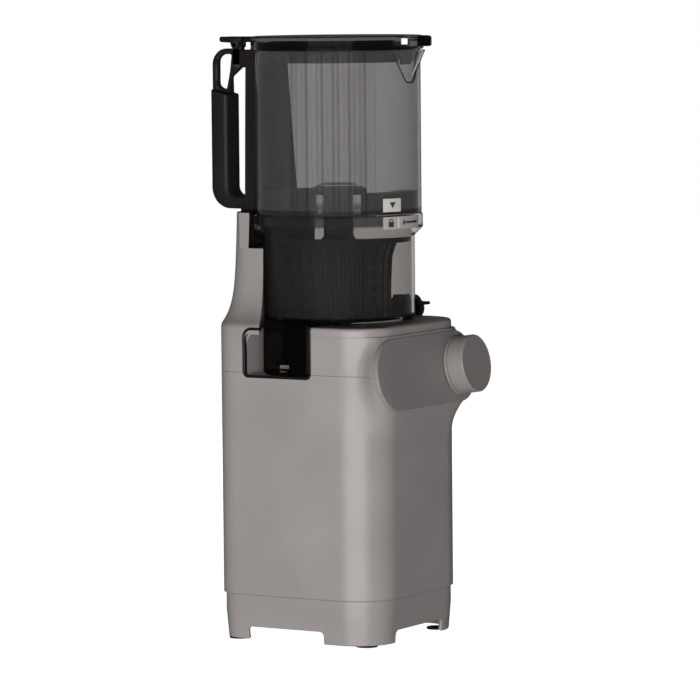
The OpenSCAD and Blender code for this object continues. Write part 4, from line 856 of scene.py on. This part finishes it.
dress(ribPanel(), "hopper", "smoke_clear", ribSmoke, "hopper_ribs")
spine = {"inR": 70.3, "outR": 79.0, "low": 360.0, "top": 492.85, "lowIn": 71.6, "lowOut": 83.5, "lowZ": 328.6,
         "backY": 75.0, "lowHalf": 37.0, "topHalf": 25.0}


def makeSpine(v):
    # a curved bar: at each height its section is bounded by two arcs and by half widths that narrow upwards
    def ring(z, rin, rout, clip):
        w = v["lowHalf"] + (v["topHalf"] - v["lowHalf"]) * (z - v["lowZ"]) / (v["top"] - v["lowZ"])
        x = np.linspace(w, -w, 41)
        outer = np.c_[x, np.minimum(np.sqrt(rout ** 2 - x * x), clip)]
        return atHeight(np.vstack([outer, np.c_[x, np.sqrt(rin ** 2 - x * x)][::-1]]), z)
    rows = [ring(z, v["lowIn"], v["lowOut"], v["backY"]) for z in np.linspace(v["lowZ"], v["low"], 6)]
    rows += [ring(z, v["inR"], v["outR"], 99) for z in np.linspace(v["low"], v["top"], 14)]
    return bevelEdges(barMesh("spineBar", rows), 0.7, 2)


dress(makeSpine(spine), "hopper", "handle", spineBrown, "spine")

# handle
grip = {"half": 11.0, "inner": 103.0, "outer": 122.0, "low": 358.1, "arm": 11.0, "top": 458.0, "bend": 18.0,
        "rOut": 7.5, "rIn": 4.0, "fillet": 8.0, "root": 77.0, "web": 3.0, "webEdge": 0.8}


def makeGrip(v):
    # rounded section carried along the arm, round the bend and up; the section deepens from arm to grip
    bend, fillet = v["bend"], v["fillet"]
    bendC = np.array([v["outer"] - bend, v["low"] + bend])
    innerC = np.array([v["inner"] - fillet, v["low"] + v["arm"] + fillet])
    arm = np.linspace(v["root"], innerC[0], 7)[:-1]
    up = [np.linspace(bendC[1], v["top"] + 1.5, 13)[1:], np.linspace(innerC[1], v["top"] - 3.0, 13)[1:]]
    outer = np.vstack([atHeight(arm, v["low"]), quarter(*bendC, bend, -90, 14), atX(v["outer"], up[0])])
    inner = np.vstack([atHeight(arm, v["low"] + v["arm"]), quarter(*innerC, fillet, -90, 14), atX(v["inner"], up[1])])
    across = outer - inner
    half = np.linalg.norm(across, axis=1) / 2
    rows = []
    for mid, n, h in zip((outer + inner) / 2, across / (2 * half)[:, None], half):
        ro, ri, w = min(v["rOut"], h * 0.8), min(v["rIn"], h * 0.45), v["half"]
        corners = ((h - ro, w - ro, ro), (ri - h, w - ri, ri), (ri - h, ri - w, ri), (h - ro, ro - w, ro))
        s = np.vstack([quarter(*q, 90 * k, 7) for k, q in enumerate(corners)])
        rows.append(np.c_[s[:, 1], mid + s[:, :1] * n])
    return bevelEdges(barMesh("handleGrip", rows), 0.9, 3)


def makeStrap(v):
    # the web over the grip: outer arch and slot are two curves with the same number of points
    outer = roundPath([(122.6, 456), (122.6, 493.9), (94.2, 494), (94.2, 478), (104, 470), (104, 456)],
                      [0, 17, 0.8, 2, 3, 0], 16)
    outer = np.vstack([[(112.8, 456)], outer])
    slotPath = roundPath([(111.4, 459.5), (117.3, 462), (117.2, 489.0), (102.9, 489.2), (105.2, 474), (108.2, 459.5),
                          (111.4, 459.5)], [0, 5, 11, 2, 8, 2.5, 0], 12)

    def resample(p, n):
        s = np.r_[0, np.cumsum(np.linalg.norm(np.diff(p, axis=0), axis=1))]
        u = np.linspace(0, s[-1], n, endpoint=False)
        return np.c_[np.interp(u, s, p[:, 0]), np.interp(u, s, p[:, 1])]
    n = 160
    o, i = resample(np.vstack([outer, outer[:1]]), n), resample(slotPath, n)
    c = slotPath.mean(0)
    k = int(np.argmin(np.abs(np.arctan2(*(i - c).T[::-1]) - math.atan2(*(o[0] - c)[::-1]))))
    i = np.roll(i, -k, axis=0)
    w, e = v["web"], v["webEdge"]

    def towardsCentre(p, step):
        return p + (c - p) / np.linalg.norm(c - p, axis=1)[:, None] * step
    co, ci = towardsCentre(o, e), towardsCentre(i, -e)
    sections = ((e - w, i), (-w, ci), (-w, co), (e - w, o), (w - e, o), (w, co), (w, ci), (w - e, i))
    return gridMesh("handleStrap", np.stack([atX(*q) for q in sections], 1), loopU=True, loopV=True, smoothAngle=50)


print("handle")
dress(makeGrip(grip), "hopper", "handle", handleBrown, "handle")
dress(makeStrap(grip), "hopper", "handle", handleBrown, "handle")


def blockMesh(name, x0, x1, outline, e=0.7):
    # an outline in (y, z) carried along x with rounded rims
    p = np.asarray(outline, float)
    c = p.mean(0)
    q = p + (c - p) / np.linalg.norm(c - p, axis=1)[:, None] * e
    between = p * 0.7 + q * 0.3
    sections = ((x0, q), (x0 + 0.3 * e, between), (x0 + e, p), (x1 - e, p), (x1 - 0.3 * e, between), (x1, q))
    return barMesh(name, [atX(x, o) for x, o in sections], 50)


armLine = roundPath([(85, 478), (92.1, 478), (92.1, 493), (78.2, 493), (78.2, 478), (85, 478)],
                    [0, 2, 1, 1, 2, 0], 5)[:-1]
dress(blockMesh("topArm", -8, 8, armLine), "hopper", "handle", handleBrown, "handle")
hubT = np.radians(np.linspace(0, 180, 20))
hubLine = np.vstack([np.c_[97.5 + 3.4 * np.cos(hubT), 497 + 3.4 * np.sin(hubT)],
                     [(92.1, 490), (92.1, 480), (102, 480), (102, 490)]])
dress(blockMesh("hingeHub", -3, 3, hubLine, 0.5), "hopper", "handle", handleBrown, "handle")

# lid
lid = {"r": 72.5, "low": 493.4, "top": 504.9, "plate": 3.4, "rimIn": 68.0, "lobeR": 24.0, "lobeY": -64.0,
       "lobeLift": 2.6, "edge": 2.2, "tabHalf": 7.0, "slotHalf": 3.4, "tabEnd": 112.5,
       "tabLow": 499.4, "tabTop": 504.1, "tabRoot": 88,
       "hingeY": 97.5, "hingeZ": 497.0, "lugR": 3.4, "join": 3.0}


def lidRadius(angle, inset, lobe=True):
    v = lid
    return lobed(angle, v["r"] - inset, v["lobeR"] - inset, v["lobeY"], v["join"], lobe)


def lidShell():
    # rows (inset, z) of the rim; rows under the lobe's underside leave the lobe out
    v = lid
    deg = np.concatenate([np.arange(228, 312, 0.6), np.arange(312, 588, 1.6)])
    a = np.radians(deg)
    lift = v["low"] + v["lobeLift"]
    rim, low, top = v["r"] - v["rimIn"], v["low"], v["top"]
    rows = [(rim, low + 0.4, False), (rim - 0.4, low, False), (0.5, low, False), (0.0, low + 0.5, False),
            (0.0, lift, False), (1.2, lift, True), (0.3, lift + 0.6, True), (0.0, lift + 1.4, True),
            (0.0, top - v["edge"], True)]
    t = np.radians(np.linspace(10, 90, 8))
    rows += [(v["edge"] * (1 - math.cos(x)), top - v["edge"] * (1 - math.sin(x)), True) for x in t]
    rows += [(i, top, True) for i in (6, 14)]
    face = [(40, top), (20, top), (0, top), (0, top - v["plate"]), (40, top - v["plate"])]
    ends = [(rim + 1, top - v["plate"]), (rim, top - v["plate"] - 1), (rim, low + 0.4)]
    r = np.concatenate([np.stack([lidRadius(a, i, b) for i, z, b in rows], 1),
                        np.ones((len(a), 1)) * [q[0] for q in face],
                        np.stack([lidRadius(a, i, False) for i, z in ends], 1)], 1)
    return gridMesh("lidShell", polar(r, a[:, None], [q[1] for q in rows + face + ends]), loopU=True)


print("lid")
dress(lidShell(), "lid", "smoke_lid", lidSmoke, "lid")


def tabPiece(name, x0, x1):
    v = lid
    back, front, z = v["hingeY"] - v["lugR"], v["hingeY"] + v["lugR"], v["hingeZ"]
    root, end, low, top = v["tabRoot"], v["tabEnd"], v["tabLow"], v["tabTop"]
    prof = roundPath([(root, low), (back, low), (back, z)], [0, 0.8, 0], 4)
    t = np.radians(np.linspace(180, 360, 16))
    lug = np.c_[v["hingeY"] + v["lugR"] * np.cos(t), z + v["lugR"] * np.sin(t)]
    rest = roundPath([(front, z), (front, low), (end, low), (end, top), (root, top)], [0, 1.0, 2.0, 1.6, 0], 5)
    return blockMesh(name, x0, x1, np.vstack([prof, lug[1:-1], rest])[::-1], 0.5)


dress(tabPiece("lidProngLeft", -lid["tabHalf"], -lid["slotHalf"]), "lid", "smoke_lid", capBlack, "lid")
dress(tabPiece("lidProngRight", lid["slotHalf"], lid["tabHalf"]), "lid", "smoke_lid", capBlack, "lid")
neckLine = roundPath([(78, 499.4), (90.7, 499.4), (90.7, 504.1), (69, 504.1), (69, 499.4), (78, 499.4)],
                     [0, 1.2, 1.2, 0.3, 0.3, 0], 4)[:-1]
dress(blockMesh("lidNeck", -7, 7, neckLine, 0.6), "lid", "smoke_lid", capBlack, "lid")

# finishes of the solids that stay
print("finishes")
finish = (
    (steel, "base_screws deck_screws knob_shaft rotor motor_shaft motor_bearings counter_shaft drive_shaft "
            "drive_bearing spout_pin hinge_pin"),
    (innerBlack, "base_plate rotary_switch power_inlet interlock_switch cooling_fan"),
    (castMetal, "chassis gearbox_case gearbox_cover"),
    (gearMetal, "motor_pinion counter_gear output_gear"),
    (filterBlack, "auger auger_cutter hopper_blocks"),
    (capBlack, "spout_cap lid_seal spout_guard"),
    (sealGrey, "drum_seal outlet_plug"),
    (padRubber, "foot_pads"), (bodyGrey, "outlet_bay"), (boardGreen, "circuit_board"), (canPaint, "motor_can"),
    (copperWire, "stator"), (spoutSmoke, "juice_spout"), (spineBrown, "interlock_bar"),
    (markGrey, "drum_mark"), (markLight, "hopper_mark"), (markWhite, "lid_mark"))
for material, names in finish:
    for nodeName in names.split():
        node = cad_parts[nodeName]
        if not node.material_slots:
            node.data.materials.append(material)
        for s in node.material_slots:
            s.material = material

# stage and light, lengths in metres
stage = {"floorHalf": 6.0, "floorLight": 0.44, "floorGrey": 0.25, "ambient": 0.05, "away": 1.6}
# each light's turn from -X towards -Y, height, height aimed at, size, power, and the kinds of ray that don't see it
lights = {"keyLeft": (22.0, 0.1, 0.2, (1.2, 0.5), 38.0, ("glossy", "transmission")),
          "stripLeft": (22.0, 0.1, 0.1, (1.85, 1.6), 25.0, ("diffuse", "transmission")),
          "fillBack": (214.0, 0.7, 0.25, (1.6, 1.0), 16.0, ("glossy", "transmission"))}


def seenDirectly(t):
    # 1 for rays from the camera or through clear plastic
    path = t.nodes.new("ShaderNodeLightPath").outputs
    return maths(t, "MAXIMUM", path["Is Camera Ray"], path["Is Transmission Ray"])


def stageMaterial():
    # white where the camera or clear plastic looks at it, a pale glow for the light that it returns
    m = bpy.data.materials.new("studioFloor")
    m.use_nodes = True
    t = m.node_tree
    t.nodes.clear()
    pale = addNode(t, "Emission", {"Strength": stage["floorLight"]}).outputs[0]
    shade = addNode(t, "BsdfDiffuse", {"Color": (*[stage["floorGrey"]] * 3, 1)}).outputs[0]
    glow = addNode(t, "Emission", {"Strength": 1.0}).outputs[0]
    both = addNode(t, "AddShader", {0: shade, 1: glow}).outputs[0]
    mix = addNode(t, "MixShader", {0: seenDirectly(t), 1: pale, 2: both}).outputs[0]
    addNode(t, "OutputMaterial", {"Surface": mix})
    return m


def makeStage():
    s = stage["floorHalf"]
    g = np.array([[[-s, -s, 0], [-s, s, 0]], [[s, -s, 0], [s, s, 0]]], float) / mm
    floor = gridMesh("studioFloorSheet", g)
    floor.data.materials.append(stageMaterial())
    floor.visible_glossy = False
    world = bpy.data.worlds.new("studio")
    bpy.context.scene.world = world
    world.use_nodes = True
    t = world.node_tree
    dim = t.nodes["Background"]
    feed(t, dim, {"Color": (1, 1, 1, 1), "Strength": stage["ambient"]})
    white = addNode(t, "Background", {"Color": (1, 1, 1, 1), "Strength": 1.0}).outputs[0]
    mix = addNode(t, "MixShader", {0: seenDirectly(t), 1: dim.outputs[0], 2: white}).outputs[0]
    feed(t, t.nodes["World Output"], {"Surface": mix})


def softBox(name, turn, high, aim, size, power, hidden):
    data = bpy.data.lights.new(name, "AREA")
    data.shape = "RECTANGLE"
    data.size, data.size_y = size
    data.energy = power
    obj = bpy.data.objects.new(name, data)
    bpy.context.scene.collection.objects.link(obj)
    t = math.radians(turn)
    obj.location = place = Vector((-stage["away"] * math.cos(t), -stage["away"] * math.sin(t), high))
    obj.rotation_mode = "QUATERNION"
    obj.rotation_quaternion = (Vector((0, 0, aim)) - place).to_track_quat("-Z", "Y")
    for kind in hidden:
        setattr(obj, "visible_" + kind, False)


bpy.context.scene.view_settings.view_transform = "Standard"
makeStage()
for name, values in lights.items():
    softBox(name, *values)

print("done")
